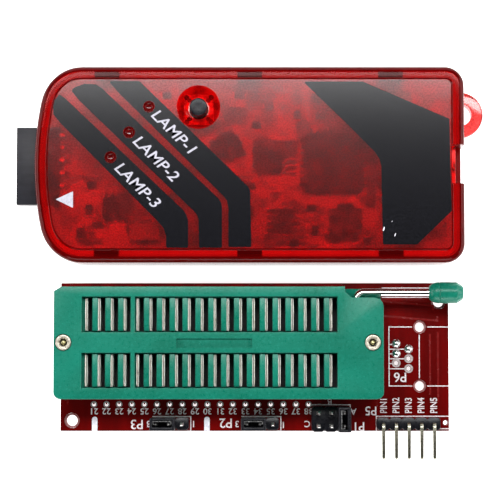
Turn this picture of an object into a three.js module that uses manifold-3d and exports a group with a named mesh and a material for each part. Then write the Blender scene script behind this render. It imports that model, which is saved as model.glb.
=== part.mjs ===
// USB microcontroller programmer with its zero-insertion-force (ZIF) chip socket board.
// Millimetres, +Z up. The origin is the centre of the programmer's flat underside.
// +X points to the USB end, -X to the programming header; the socket board lies on the -Y side.
import * as THREE from "three";
import { mergeVertices } from "three/addons/utils/BufferGeometryUtils.js";
import Module from "manifold-3d";

const wasm = await Module();
wasm.setup();

// ---------------------------------------------------------------- driving dimensions
const PITCH = 2.54; // pin pitch of every header and of the socket
const PIN = 0.64; // square pin
// programmer case
const CASE_X1 = 42.6; // USB end
const CASE_H = 19.5; // half width in Y
const CASE_RC = 3.8; // corner radius at the USB end
const SPLIT_Z = 6.95; // parting line
const CASE_Z = 14.0; // top of the textured field
const BAND_Z = 13.6; // top of the glossy edge band
const WALL = 1.6;
const FLOOR = 1.5;
const ROOF_Z = 12.2; // underside of the top
const EDGE_R = 1.4; // top edge rounding
const FIELD_OFF = 2.75; // textured field, inwards from the outline
const HOOK_X = [-28.3, 0.0, 28.0];
const HOOK_W = 4.9;
const POSTS = [[37.6, 14.0], [37.6, -14.0], [-33.5, 13.6], [-33.5, -13.6]];
// main board
const PCB_Z0 = 5.0;
const PCB_Z1 = 6.6;
const PCB_OFF = 3.0;
// push button
const BTN = [-10.1, 11.2];
const BTN_TRAVEL = 0.3;
// status windows
const LEDS = [[-19.9, 11.3], [-23.8, 6.2], [-27.45, 1.25]];
// programming header and USB socket
const HDR_X0 = -46.55;
const HDR_X1 = -38.05;
const USB_X0 = 32.2;
const USB_X1 = 40.75;
// socket board, in its own frame; the frame's centre is the middle of the board
const BOARD = [1.05, -38.02];
const BX = 39.05;
const BY = 14.87;
const B0 = 2.0; // underside
const B1 = 3.6; // top
// ZIF socket
const ZX0 = -39.65, ZX1 = 25.4, ZY0 = -8.4, ZY1 = 13.8;
const ZC = 2.7; // centre line in Y
const ZTOP = 12.7;
const X_CONTACT = -33.45; // first contact
const N_CONTACT = 20;
const ROWS = [{ y0: 4.77, y1: 11.82, tail: ZC + 7.62 }, { y0: -6.23, y1: 0.72, tail: ZC - 7.62 }];
const WINDOWS = [[-34.15, -24.5], [-23.65, 16.3]];
const SHAFT_X = 20.25, SHAFT_Z = 9.3, ROD_R = 0.8, ROD_Y = 12.7;
const CAM_R = 0.85, CAM_E = 0.9; // cam throw, which is the slider's travel
const RIVETS = [-37.78, 23.28];
const NOTCH_X = 17.8, NOTCH_Y = 11.65;

// ---------------------------------------------------------------- helpers
const solid = (geometry) => {
  const g = geometry.index ? geometry.toNonIndexed() : geometry.clone();
  g.deleteAttribute("normal");
  g.deleteAttribute("uv");
  const m = mergeVertices(g, 1e-4);
  return new wasm.Manifold(new wasm.Mesh({
    numProp: 3,
    vertProperties: new Float32Array(m.attributes.position.array),
    triVerts: new Uint32Array(m.index.array),
  }));
};
const geometryOf = (s) => {
  const m = s.getMesh();
  const g = new THREE.BufferGeometry();
  const v = new Float32Array(m.numVert * 3);
  for (let i = 0; i < m.numVert; i++)
    for (let k = 0; k < 3; k++) v[i * 3 + k] = m.vertProperties[i * m.numProp + k];
  g.setAttribute("position", new THREE.BufferAttribute(v, 3));
  g.setIndex(new THREE.BufferAttribute(new Uint32Array(m.triVerts), 1));
  g.computeVertexNormals();
  return g;
};
const box = (x0, x1, y0, y1, z0, z1) =>
  solid(new THREE.BoxGeometry(x1 - x0, y1 - y0, z1 - z0).translate((x0 + x1) / 2, (y0 + y1) / 2, (z0 + z1) / 2));
const cylZ = (x, y, r, z0, z1, n = 24) =>
  solid(new THREE.CylinderGeometry(r, r, z1 - z0, n).rotateX(Math.PI / 2).translate(x, y, (z0 + z1) / 2));
const cylY = (x, z, r, y0, y1, n = 24) =>
  solid(new THREE.CylinderGeometry(r, r, y1 - y0, n).translate(x, (y0 + y1) / 2, z));
// profile of [radius, height] turned about a vertical axis at x, y
const turnedZ = (x, y, profile, n = 32) =>
  solid(new THREE.LatheGeometry(profile.map(([r, z]) => new THREE.Vector2(r, z)), n).rotateX(Math.PI / 2).translate(x, y, 0));
const prism = (points, z0, z1) =>
  solid(new THREE.ExtrudeGeometry(new THREE.Shape(points), { depth: z1 - z0, bevelEnabled: false }).translate(0, 0, z0));
const add = (list) => list.reduce((a, b) => a.add(b));
const cut = (a, list) => list.reduce((s, b) => s.subtract(b), a);
// rounded rectangle outline
const rounded = (x0, x1, y0, y1, r, n = 4) => {
  const s = new THREE.Shape();
  s.absarc(x1 - r, y1 - r, r, 0, Math.PI / 2);
  s.absarc(x0 + r, y1 - r, r, Math.PI / 2, Math.PI);
  s.absarc(x0 + r, y0 + r, r, Math.PI, Math.PI * 1.5);
  s.absarc(x1 - r, y0 + r, r, Math.PI * 1.5, Math.PI * 2);
  return clean(s.getPoints(n));
};
function clean(points) {
  const out = [];
  for (const p of points) if (!out.length || out[out.length - 1].distanceTo(p) > 0.02) out.push(p);
  if (out[0].distanceTo(out[out.length - 1]) < 0.02) out.pop();
  return out;
}
// closed outline moved inwards by d
const inset = (points, d) => points.map((p, i) => {
  const a = points[(i + points.length - 1) % points.length], b = points[(i + 1) % points.length];
  const e = p.clone().sub(a).normalize(), f = b.clone().sub(p).normalize();
  const n = new THREE.Vector2(-(e.y + f.y), e.x + f.x).normalize();
  const k = d / Math.max(0.3, n.dot(new THREE.Vector2(-e.y, e.x)));
  return p.clone().addScaledVector(n, k);
});
// solid skinned over stacked outlines of equal count; each ring is [points, z]
const loft = (rings) => {
  const n = rings[0][0].length, pos = [], idx = [];
  for (const [pts, z] of rings) for (const p of pts) pos.push(p.x, p.y, z);
  for (let r = 0; r + 1 < rings.length; r++)
    for (let i = 0; i < n; i++) {
      const a = r * n + i, b = r * n + (i + 1) % n, c = a + n, d = b + n;
      idx.push(a, b, d, a, d, c);
    }
  const cap = THREE.ShapeUtils.triangulateShape(rings[0][0], []);
  for (const [a, b, c] of cap) idx.push(c, b, a);
  const top = THREE.ShapeUtils.triangulateShape(rings[rings.length - 1][0], []), o = (rings.length - 1) * n;
  for (const [a, b, c] of top) idx.push(o + a, o + b, o + c);
  const g = new THREE.BufferGeometry();
  g.setAttribute("position", new THREE.Float32BufferAttribute(pos, 3));
  g.setIndex(idx);
  return solid(g);
};
// round rod along a path of points
const rod = (path, r, sides = 16) => {
  const pos = [], idx = [];
  let u = null;
  path.forEach((p, i) => {
    const t = new THREE.Vector3();
    if (i > 0) t.add(p.clone().sub(path[i - 1]).normalize());
    if (i < path.length - 1) t.add(path[i + 1].clone().sub(p).normalize());
    t.normalize();
    u = u ?? new THREE.Vector3(0, 0, 1);
    u = u.clone().addScaledVector(t, -u.dot(t)).normalize();
    const v = t.clone().cross(u);
    for (let k = 0; k < sides; k++) {
      const a = (k / sides) * Math.PI * 2;
      const q = p.clone().addScaledVector(u, r * Math.cos(a)).addScaledVector(v, r * Math.sin(a));
      pos.push(q.x, q.y, q.z);
    }
  });
  for (let i = 0; i + 1 < path.length; i++)
    for (let k = 0; k < sides; k++) {
      const a = i * sides + k, b = i * sides + (k + 1) % sides;
      idx.push(a, b, b + sides, a, b + sides, a + sides);
    }
  const e = (path.length - 1) * sides;
  for (let k = 1; k + 1 < sides; k++) {
    idx.push(0, k + 1, k);
    idx.push(e, e + k, e + k + 1);
  }
  const g = new THREE.BufferGeometry();
  g.setAttribute("position", new THREE.Float32BufferAttribute(pos, 3));
  g.setIndex(idx);
  return solid(g);
};
const materials = {};
const paint = (name, color, roughness, metalness = 0, opacity = 1) =>
  (materials[name] = new THREE.MeshStandardMaterial({ name, color, roughness, metalness, opacity, transparent: opacity < 1 }));
paint("case_red", 0xb00d12, 0.3, 0, 0.75);
paint("board_red", 0x9c0b0e, 0.45);
paint("black_plastic", 0x1c1e20, 0.55);
paint("chip_black", 0x17181a, 0.6);
paint("socket_green", 0x1f8f72, 0.5);
paint("tin", 0xcfcfc8, 0.3, 1);
paint("gold_pin", 0xcdbb7d, 0.3, 1);
paint("lens", 0xf2ead8, 0.2);
paint("ferrite", 0x2b2b2d, 0.7);
const piece = (group, name, s, material, at = [0, 0, 0]) => {
  const mesh = new THREE.Mesh(geometryOf(s), materials[material].clone());
  mesh.name = name;
  mesh.position.set(...at);
  group.add(mesh);
  return mesh;
};

// ---------------------------------------------------------------- case outline
const outline = (() => {
  const s = new THREE.Shape();
  const H = CASE_H, R = CASE_X1, c = CASE_RC;
  s.moveTo(R, -H + c);
  s.lineTo(R, H - c);
  s.absarc(R - c, H - c, c, 0, Math.PI / 2);
  s.lineTo(-33.2, H);
  s.bezierCurveTo(-37.4, H, -40.5, 16.4, -41.35, 12.6);
  s.bezierCurveTo(-43.05, 4.2, -43.05, -4.2, -41.35, -12.6);
  s.bezierCurveTo(-40.5, -16.4, -37.4, -H, -33.2, -H);
  s.lineTo(R - c, -H);
  s.absarc(R - c, -H + c, c, -Math.PI / 2, 0);
  return clean(s.getPoints(6));
})();
const at = (d) => inset(outline, d);

// ---------------------------------------------------------------- programmer
const programmer = new THREE.Group();

{ // top shell: rounded glossy edge band round a raised textured field
  const rings = [[at(0), SPLIT_Z + 0.05], [at(0), BAND_Z - EDGE_R]];
  for (const a of [30, 60, 90]) {
    const t = (a * Math.PI) / 180;
    rings.push([at(EDGE_R * (1 - Math.cos(t))), BAND_Z - EDGE_R + EDGE_R * Math.sin(t)]);
  }
  rings.push([at(FIELD_OFF - 0.35), BAND_Z], [at(FIELD_OFF - 0.15), CASE_Z - 0.1], [at(FIELD_OFF), CASE_Z]);
  let s = loft(rings).subtract(prism(at(WALL), SPLIT_Z - 1, ROOF_Z));
  // button cup under the roof
  s = s.add(cylZ(...BTN, 5.0, 10.55, ROOF_Z + 0.2, 40));
  // posts that press the board down
  for (const [x, y] of POSTS) s = s.add(cylZ(x, y, 1.3, PCB_Z1 + 0.15, ROOF_Z + 0.2, 10));
  s = cut(s, [
    turnedZ(...BTN, [[0, 11.5], [2.75, 11.5], [3.0, 11.62], [3.7, 13.2], [4.05, CASE_Z + 0.1], [0, CASE_Z + 0.1]], 40),
    cylZ(...BTN, 2.05, 10.0, 12.0, 32),
    ...LEDS.map(([x, y]) => turnedZ(x, y, [[0, 12.95], [0.55, 13.02], [0.95, 13.25], [1.1, 13.5], [1.1, CASE_Z + 0.1], [0, CASE_Z + 0.1]], 20)),
    box(-46, -37.5, -7.95, 7.95, SPLIT_Z - 1, 9.45), // header slot
    box(39.95, 44, -3.85, 3.85, SPLIT_Z - 1, CASE_Z + 0.2), // USB mouth
    // catches for the hooks
    ...HOOK_X.flatMap((x) => [1, -1].map((k) => box(x - 2.7, x + 2.7, ...(k > 0 ? [17.7, 18.45] : [-18.45, -17.7]), 9.5, 10.9))),
  ]);
  piece(programmer, "top_shell", s, "case_red");
}

{ // bottom shell with floor, tongue, hooks, board posts and lanyard lug
  const rings = [];
  for (const a of [0, 45, 90]) {
    const t = (a * Math.PI) / 180;
    rings.push([at(1.5 * (1 - Math.sin(t))), 1.5 * (1 - Math.cos(t))]);
  }
  rings.push([at(0), SPLIT_Z]);
  let s = loft(rings);
  const lug = cylZ(42.6, 10.8, 4.6, 2.6, 5.4, 40);
  s = s.add(lug).subtract(prism(at(WALL), FLOOR, SPLIT_Z + 1));
  s = s.subtract(cylZ(42.6, 10.8, 2.2, 2, 6, 28).subtract(prism(at(0), 0, 8)));
  // tongue that centres the two shells
  let tongue = prism(at(WALL - 0.4), SPLIT_Z - 1.4, SPLIT_Z).add(prism(at(WALL + 0.15), SPLIT_Z - 1.4, SPLIT_Z + 1.1));
  tongue = tongue.subtract(prism(at(WALL + 0.85), SPLIT_Z - 2, SPLIT_Z + 2));
  s = s.add(tongue);
  for (const x of HOOK_X)
    for (const k of [1, -1]) {
      const y = (d) => k * (CASE_H - d);
      const b = (d0, d1, w, z0, z1) => box(x - w, x + w, Math.min(y(d0), y(d1)), Math.max(y(d0), y(d1)), z0, z1);
      s = s.add(b(1.75, 2.75, HOOK_W / 2, 5.0, 11.9)).add(b(1.2, 1.8, HOOK_W / 2, 9.7, 10.6)).add(b(1.5, 2.75, HOOK_W / 2, 5.0, 6.5));
    }
  for (const [x, y] of POSTS) s = s.add(cylZ(x, y, 1.5, 1.0, PCB_Z0 - 0.1, 10));
  s = cut(s, [
    box(-46, -38.6, -7.95, 7.95, 6.5, SPLIT_Z + 2), // header slot
    box(39.0, 42.0, -4.3, 4.3, 6.5, SPLIT_Z + 2), // room for the USB socket
    box(42.2, 44, -3.85, 3.85, 5.2, SPLIT_Z + 2), // USB mouth
  ]);
  piece(programmer, "bottom_shell", s, "case_red");
}

{ // main circuit board
  let s = prism(at(PCB_OFF), PCB_Z0, PCB_Z1);
  for (let k = 0; k < 6; k++) {
    const y = (k - 2.5) * PITCH;
    s = s.subtract(box(-37.85, -36.75, y - 0.5, y + 0.5, PCB_Z0 - 1, PCB_Z1 + 1));
  }
  piece(programmer, "main_board", s, "board_red");
}

{ // six-way socket header, lying on the board
  let s = box(HDR_X0, HDR_X1, -7.75, 7.75, PCB_Z1 + 0.05, PCB_Z1 + 2.6);
  for (let k = 0; k < 6; k++) {
    const y = (k - 2.5) * PITCH;
    s = s.subtract(box(HDR_X0 - 1, HDR_X1 + 1, y - 0.5, y + 0.5, 7.4, 8.4));
  }
  piece(programmer, "icsp_header", s, "black_plastic");
  for (let k = 0; k < 6; k++) {
    const c = box(-43.4, -37.0, -0.3, 0.3, 7.6, 8.2).add(box(-37.6, -37.0, -0.3, 0.3, 3.9, 8.2));
    piece(programmer, `icsp_contact_${k + 1}`, c, "tin", [0, (k - 2.5) * PITCH, 0]);
  }
}

{ // mini-B USB socket
  const z0 = PCB_Z1 + 0.05, z1 = z0 + 3.9;
  const s = box(USB_X0, USB_X1, -3.75, 3.75, z0, z1).subtract(box(USB_X0 + 0.35, USB_X1 + 1, -3.4, 3.4, z0 + 0.35, z1 - 0.35));
  piece(programmer, "usb_shell", s, "tin");
  const t = box(USB_X0 + 0.4, USB_X0 + 2.4, -3.3, 3.3, z0 + 0.45, z1 - 0.45).add(box(USB_X0 + 2.3, USB_X1 - 1.0, -1.9, 1.9, z0 + 1.6, z0 + 2.5));
  piece(programmer, "usb_tongue", t, "black_plastic");
}

{ // push switch: body, snap dome, plunger, cover plate
  const [x, y] = BTN;
  const z = PCB_Z1 + 0.05;
  let body = box(x - 3, x + 3, y - 3, y + 3, z, z + 3.1);
  body = body.subtract(cylZ(x, y, 2.6, z + 0.9, z + 4, 24));
  for (const a of [-1, 1]) for (const b of [-1, 1]) body = body.add(cylZ(x + a * 1.85, y + b * 1.85 + 0, 0.42, z + 3.0, z + 3.55, 10).intersect(box(x - 3, x + 3, y - 3, y + 3, z, z + 4)));
  // corner studs stand on solid corners
  for (const a of [-1, 1]) for (const b of [-1, 1]) body = body.add(cylZ(x + a * 2.2, y + b * 2.2, 0.62, z + 0.2, z + 3.1, 10));
  piece(programmer, "switch_body", body, "black_plastic");
  let plate = box(x - 3, x + 3, y - 3, y + 3, z + 3.15, z + 3.4).subtract(cylZ(x, y, 1.9, z + 3, z + 4, 24));
  for (const a of [-1, 1]) for (const b of [-1, 1]) plate = plate.subtract(cylZ(x + a * 1.85, y + b * 1.85, 0.5, z + 3, z + 4, 10));
  piece(programmer, "switch_plate", plate, "tin");
  piece(programmer, "switch_dome", turnedZ(x, y, [[0, z + 1.35], [1.2, z + 1.2], [2.1, z + 0.95], [2.3, z + 0.95], [2.3, z + 1.1], [1.3, z + 1.38], [0, z + 1.5]], 20), "tin");
  const plunger = turnedZ(0, 0, [[0, z + 1.9], [1.7, z + 1.9], [1.85, z + 2.2], [1.85, z + 2.75], [1.75, z + 2.75], [1.75, 14.75], [1.55, 14.95], [0, 14.95]], 28);
  piece(programmer, "switch_plunger", plunger, "black_plastic", [x, y, 0]);
}

LEDS.forEach(([x, y], k) => {
  const z = PCB_Z1 + 0.05;
  piece(programmer, `led_${k + 1}`, add([box(-1.6, 1.6, -0.8, 0.8, z, z + 0.5), box(-1.0, 1.0, -0.75, 0.75, z + 0.4, z + 0.9), turnedZ(0, 0, [[0, z + 0.8], [0.7, z + 0.8], [0.55, z + 1.25], [0.3, z + 1.45], [0, z + 1.5]], 12)]), "lens", [x, y, 0]);
});

// surface-mount chips: body with gull-wing leads on the sides named
const chip = (name, x, y, w, d, h, leads, n, pitch) => {
  const z = PCB_Z1 + 0.05;
  const parts = [prism([[-1, -1], [1, -1], [1, 1], [-1, 1]].map(([a, b]) => new THREE.Vector2((a * w) / 2, (b * d) / 2)), z + 0.15, z + h)];
  for (let k = 0; k < n; k++) {
    const t = (k - (n - 1) / 2) * pitch, q = pitch * 0.22;
    if (leads.includes("y")) parts.push(box(t - q, t + q, -d / 2 - 0.9, d / 2 + 0.9, z, z + 0.3));
    if (leads.includes("x")) parts.push(box(-w / 2 - 0.9, w / 2 + 0.9, t - q, t + q, z, z + 0.3));
  }
  return piece(programmer, name, add(parts), "chip_black", [x, y, 0]);
};
{ // square controller with a toothed lead frame
  const half = 5.8, reach = 0.9, n = 8, pitch = 1.27, q = 0.3, teeth = [];
  for (let side = 0; side < 4; side++) {
    const spin = (x, y) => new THREE.Vector2(x, y).rotateAround(new THREE.Vector2(), (side * Math.PI) / 2);
    teeth.push(spin(half, -half));
    for (let k = 0; k < n; k++) {
      const t = (k - (n - 1) / 2) * pitch;
      teeth.push(spin(half, t - q), spin(half + reach, t - q), spin(half + reach, t + q), spin(half, t + q));
    }
  }
  const z = PCB_Z1 + 0.05;
  piece(programmer, "microcontroller", prism(teeth, z, z + 0.3).add(box(-half, half, -half, half, z + 0.2, z + 1.3)), "chip_black", [16.9, 0.9, 0]);
}
chip("memory_chip", 4.0, 1.2, 5.0, 4.0, 1.5, "y", 4, 1.27);
chip("supervisor_chip", 6.6, -10.7, 4.4, 4.4, 1.6, "x", 4, 1.27);
chip("driver_chip", -26.8, -8.2, 5.0, 4.0, 1.5, "y", 4, 1.27);
piece(programmer, "voltage_regulator", box(-3.25, 3.25, -1.9, 3.0, 6.65, 8.35).add(box(-1.6, 1.6, 2.9, 4.0, 6.65, 6.95)).add(box(-2.7, 2.7, -3.3, -1.8, 6.65, 6.95)), "chip_black", [19.2, -11.4, 0]);
piece(programmer, "boost_inductor", turnedZ(0, 0, [[0, 6.65], [2.6, 6.65], [2.6, 7.3], [1.9, 7.5], [1.9, 8.9], [2.6, 9.1], [2.6, 9.7], [0, 9.7]], 20), "ferrite", [-4.3, 4.3, 0]);
piece(programmer, "quartz_crystal", prism(rounded(-5.4, 5.4, -2.2, 2.2, 2.0), 6.65, 9.9).add(prism(rounded(-5.7, 5.7, -2.45, 2.45, 2.2), 6.65, 7.05)), "tin", [27.0, 10.4, 0]);
piece(programmer, "tantalum_capacitor", box(-3.0, 3.0, -1.6, 1.6, 6.85, 9.3).add(box(-3.2, 3.2, -1.1, 1.1, 6.65, 6.95)), "lens", [-21.0, -13.2, 0]);

// ---------------------------------------------------------------- socket board
const adapter = new THREE.Group();
adapter.position.set(BOARD[0], BOARD[1], 0);
const contactX = (i) => X_CONTACT + i * PITCH;
const J5_X = (k) => 25.68 + k * PITCH, J5_Y = -13.4;
const J1 = [12.65, 15.19, 17.73].flatMap((x) => [[x, -11.2], [x, -13.74]]);
const J2 = [-1.53, 1.01, 3.55].map((x) => [x, -13.36]);
const J3 = [-19.55, -17.01, -14.47].map((x) => [x, -13.36]);
const PADS = Array.from({ length: 18 }, (_, k) => [-32.35 + k * PITCH, -9.55]);
const J6 = [[28.5, 2.69], [28.5, 0.67], [28.5, -1.24], [31.0, 1.58], [31.0, -0.35], [31.0, -2.35]];

{ // carrier board with every drilled hole
  let s = box(-BX, BX, -BY, BY, B0, B1);
  const holes = [cylZ(-36.73, -12.77, 1.55, 1, 5, 24), cylZ(33.25, 6.02, 1.3, 1, 5, 24), cylZ(33.22, -5.85, 1.3, 1, 5, 24), cylZ(37.05, 11.12, 1.5, 1, 5, 24), cylZ(38.35, -13.2, 0.62, 1, 5, 12)];
  for (const [x, y] of [...PADS, ...J6]) holes.push(cylZ(x, y, 0.45, 1, 5, 6));
  for (const row of ROWS) for (let i = 0; i < N_CONTACT; i++) {
    const x = contactX(i);
    holes.push(box(x - 0.15, x + 0.55, row.tail - 0.45, row.tail + 0.45, 1, 5));
  }
  for (const [x, y] of [...J1, ...J2, ...J3, ...[0, 1, 2, 3, 4].map((k) => [J5_X(k), J5_Y])]) holes.push(box(x - 0.45, x + 0.45, y - 0.45, y + 0.45, 1, 5));
  piece(adapter, "socket_board", s.subtract(add(holes)), "board_red");
}

const socket = new THREE.Group();
adapter.add(socket);
{ // lower housing with a trough for each row of contacts
  let s = prism(rounded(ZX0 + 0.3, ZX1 - 0.3, ZY0 + 0.3, ZY1 - 0.3, 1.2), 3.85, 9.25);
  const cuts = [];
  for (const row of ROWS) cuts.push(box(X_CONTACT - 0.6, contactX(N_CONTACT - 1) + 1.9, row.y0 + 0.05, row.y1 - 0.05, 5.3, 10));
  for (const row of ROWS) cuts.push(box(X_CONTACT - 0.8, contactX(N_CONTACT - 1) + 1.2, row.tail - 0.85, row.tail + 0.85, 3, 5.4));
  cuts.push(box(NOTCH_X - 0.2, ZX1 + 1, NOTCH_Y - 0.15, ZY1 + 1, 8.1, 10));
  cuts.push(cylY(SHAFT_X, SHAFT_Z, 0.9, -7.4, 14, 20), cylY(SHAFT_X, SHAFT_Z, 1.3, 11.0, 14, 20));
  cuts.push(box(SHAFT_X - 2.0, SHAFT_X + 1.0, 0.7, 4.8, 8.25, 10));
  for (const x of RIVETS) cuts.push(cylZ(x, ZC + 0.05, 0.9, 3, 10, 16));
  piece(socket, "zif_base", s.subtract(add(cuts)), "socket_green");
}

{ // slider: slotted comb with raised ribs in the windows and a yoke round the cam
  let s = box(-35.5, 17.2, -7.1, 12.5, 9.45, 11.0);
  s = s.add(box(17.0, SHAFT_X + 1.85, 0.2, 5.3, 9.45, 11.0));
  const cuts = [];
  for (const row of ROWS) for (let i = 0; i < N_CONTACT; i++) {
    const x = contactX(i);
    cuts.push(box(x - 0.2, x + 1.5, row.y0 + 0.15, row.y1 - 0.15, 9, 12));
  }
  cuts.push(box(SHAFT_X - 1.1, SHAFT_X + 1.1, 0.7, 4.8, 9, 12));
  cuts.push(box(SHAFT_X - 0.95, SHAFT_X + 2.2, -1, 6, 9.3, 10.25));
  s = s.subtract(add(cuts));
  const ribs = [];
  for (const row of ROWS) for (let i = 1; i < N_CONTACT; i++) {
    if (i === 4) continue; // the cover's bridge stands over this rib
    const x = contactX(i);
    ribs.push(box(x - 1.04, x - 0.2, row.y0 + 0.25, row.y1 - 0.25, 10.9, 12.3));
  }
  piece(socket, "zif_slider", s.add(add(ribs)), "socket_green");
}

{ // cover plate with skirt, two windows for each row and a notch for the lever
  const o = new THREE.Shape();
  const r = 1.4;
  o.moveTo(ZX0 + r, ZY0);
  o.lineTo(ZX1 - r, ZY0);
  o.absarc(ZX1 - r, ZY0 + r, r, -Math.PI / 2, 0);
  o.lineTo(ZX1, NOTCH_Y - 1.9);
  o.absarc(ZX1 - 1.9, NOTCH_Y - 1.9, 1.9, 0, Math.PI / 2);
  o.lineTo(NOTCH_X + 1.3, NOTCH_Y);
  o.lineTo(NOTCH_X, NOTCH_Y + 1.1);
  o.lineTo(NOTCH_X, ZY1);
  o.lineTo(ZX0 + 1.5, ZY1);
  o.lineTo(ZX0, ZY1 - 0.9);
  o.lineTo(ZX0, ZY0 + r);
  o.absarc(ZX0 + r, ZY0 + r, r, Math.PI, Math.PI * 1.5);
  let s = prism(clean(o.getPoints(4)), 9.35, ZTOP);
  const cuts = [
    box(-36.7, 17.6, -7.3, 12.7, 9, 11.15),
    box(17.5, SHAFT_X + 2.2, -0.4, 6.0, 9, 11.15),
    cylY(SHAFT_X, SHAFT_Z, 0.9, -7.4, 14, 20), cylY(SHAFT_X, SHAFT_Z, 1.3, 11.0, 14, 20),
    box(-15.45, -0.55, 1.72, 3.52, 12.4, 13),
  ];
  for (const row of ROWS) for (const [a, b] of WINDOWS) cuts.push(box(a, b, row.y0, row.y1, 10, 13));
  for (const x of RIVETS) cuts.push(cylZ(x, ZC + 0.05, 0.9, 9, 13, 16), cylZ(x, ZC + 0.05, 1.7, 12.1, 13, 24));
  piece(socket, "zif_cover", s.subtract(add(cuts)), "socket_green");
}

ROWS.forEach((row, k) => { // spring contacts, held in line by their locating strip
  const parts = [box(X_CONTACT - 0.6, contactX(N_CONTACT - 1) + 1.0, row.tail - 0.7, row.tail + 0.7, 3.64, 3.79)];
  for (let i = 0; i < N_CONTACT; i++) {
    const x = contactX(i);
    parts.push(box(x, x + 0.4, row.tail - 0.3, row.tail + 0.3, 0, 5.6));
    parts.push(box(x, x + 0.4, row.y0 + 0.35, row.y1 - 0.35, 5.5, 11.7));
  }
  piece(socket, k ? "contact_row_front" : "contact_row_rear", add(parts), "tin");
});

RIVETS.forEach((x, k) => {
  const s = turnedZ(0, 0, [[0, 3.95], [0.8, 3.95], [0.8, 12.2], [1.3, 12.2], [1.55, 12.4], [1.55, 12.55], [1.4, 12.65], [0.75, 12.65], [0.45, 12.2], [0.45, 8.0], [0, 8.0]], 18);
  piece(socket, k ? "zif_rivet_right" : "zif_rivet_left", s, "tin", [x, ZC + 0.05, 0]);
});

{ // lever: cross shaft with its cam, bent into the arm
  const lever = new THREE.Group();
  lever.position.set(SHAFT_X, 0, SHAFT_Z); // on the swing axis
  socket.add(lever);
  const path = [new THREE.Vector3(0, -6.9, 0), new THREE.Vector3(0, ROD_Y - 1.5, 0)];
  for (let k = 1; k <= 6; k++) {
    const a = (k / 6) * (Math.PI / 2);
    path.push(new THREE.Vector3(1.5 - 1.5 * Math.cos(a), ROD_Y - 1.5 + 1.5 * Math.sin(a), 0));
  }
  path.push(new THREE.Vector3(39.6 - SHAFT_X, ROD_Y, 0));
  piece(lever, "zif_lever", rod(path, ROD_R).add(cylY(0, CAM_E, CAM_R, 1.0, 4.5, 24)), "tin");
  const grip = new THREE.LatheGeometry(
    [[0, 34.55], [0.9, 34.6], [1.55, 34.95], [1.98, 35.6], [2.1, 36.3], [2.1, 36.62], [2.02, 36.68], [2.12, 36.76], [2.12, 40.2], [1.35, 41.4], [0, 41.45]].map(([r, x]) => new THREE.Vector2(r, x)), 24)
    .rotateZ(-Math.PI / 2).translate(-SHAFT_X, 0, 0);
  const bore = new THREE.CylinderGeometry(0.86, 0.86, 6.0, 24).rotateZ(-Math.PI / 2).translate(36.9 - SHAFT_X, 0, 0);
  const knob = piece(lever, "zif_lever_knob", solid(grip).subtract(solid(bore)), "socket_green");
  knob.position.set(0, ROD_Y, 0);
}

// insulator of cols x rows cells, nipped in between the cells, about the centre of the first cell
const insulator = (cols, rows) => {
  const h = PITCH / 2, y0 = -(rows - 1) * PITCH - h + 0.02, y1 = h - 0.02, c = 0.42, o = [];
  for (let k = 0; k < cols; k++) {
    const x = k * PITCH;
    o.push([x - h, y0 + c], [x - h + c, y0], [x + h - c, y0]);
  }
  o.push([(cols - 1) * PITCH + h, y0 + c]);
  for (let k = cols - 1; k >= 0; k--) {
    const x = k * PITCH;
    o.push([x + h, y1 - c], [x + h - c, y1], [x - h + c, y1]);
  }
  o.push([-h, y1 - c]);
  return prism(o.map(([x, y]) => new THREE.Vector2(x, y)), B1 + 0.05, B1 + 2.55);
};
// straight pin headers: insulator with its pins moulded in
const header = (name, pins, cols, rows) => {
  const [ox, oy] = pins[0], parts = [insulator(cols, rows)];
  for (const [x, y] of pins) parts.push(box(x - ox - PIN / 2, x - ox + PIN / 2, y - oy - PIN / 2, y - oy + PIN / 2, 0.8, 12.0));
  piece(adapter, name, add(parts), "black_plastic", [ox, oy, 0]);
};
header("j1_header", J1, 3, 2);
header("j2_header", J2, 3, 1);
header("j3_header", J3, 3, 1);

// jumper caps with their bridging clips
const jumper = (k, x, y, turn) => {
  const g = new THREE.Group();
  g.position.set(x, y, 0);
  g.rotation.z = turn;
  adapter.add(g);
  piece(g, `jumper_cap_${k}`, box(-2.45, 2.45, -1.22, 1.22, 6.35, 12.5).subtract(box(-1.95, 1.95, -0.55, 0.85, 6, 13)), "black_plastic");
  piece(g, `jumper_clip_${k}`, box(-1.75, 1.75, 0.45, 0.75, 7.2, 12.25), "tin");
};
jumper(1, J1[4][0], (J1[4][1] + J1[5][1]) / 2, Math.PI / 2);
jumper(2, (J2[0][0] + J2[1][0]) / 2, J2[0][1], 0);
jumper(3, (J3[0][0] + J3[1][0]) / 2, J3[0][1], 0);

{ // five-way programming header with pins bent over the board's edge
  let s = insulator(5, 1);
  for (let k = 0; k < 5; k++) s = s.subtract(box(k * PITCH - 0.37, k * PITCH + 0.37, -0.37, 0.37, 3, 7));
  piece(adapter, "j5_header", s, "black_plastic", [J5_X(0), J5_Y, 0]);
  for (let k = 0; k < 5; k++) {
    const p = box(-PIN / 2, PIN / 2, -PIN / 2, PIN / 2, 0.8, 7.3).add(box(-PIN / 2, PIN / 2, -7.05, PIN / 2, 6.66, 7.3));
    piece(adapter, `j5_pin_${k + 1}`, p, "gold_pin", [J5_X(k), J5_Y, 0]);
  }
}

const set = new THREE.Group();
set.add(programmer, adapter);
export default set;
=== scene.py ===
"""USB microcontroller programmer beside its ZIF socket board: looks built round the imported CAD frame."""

import math
import random

import bmesh
import bpy
from mathutils import Matrix, Vector


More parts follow.
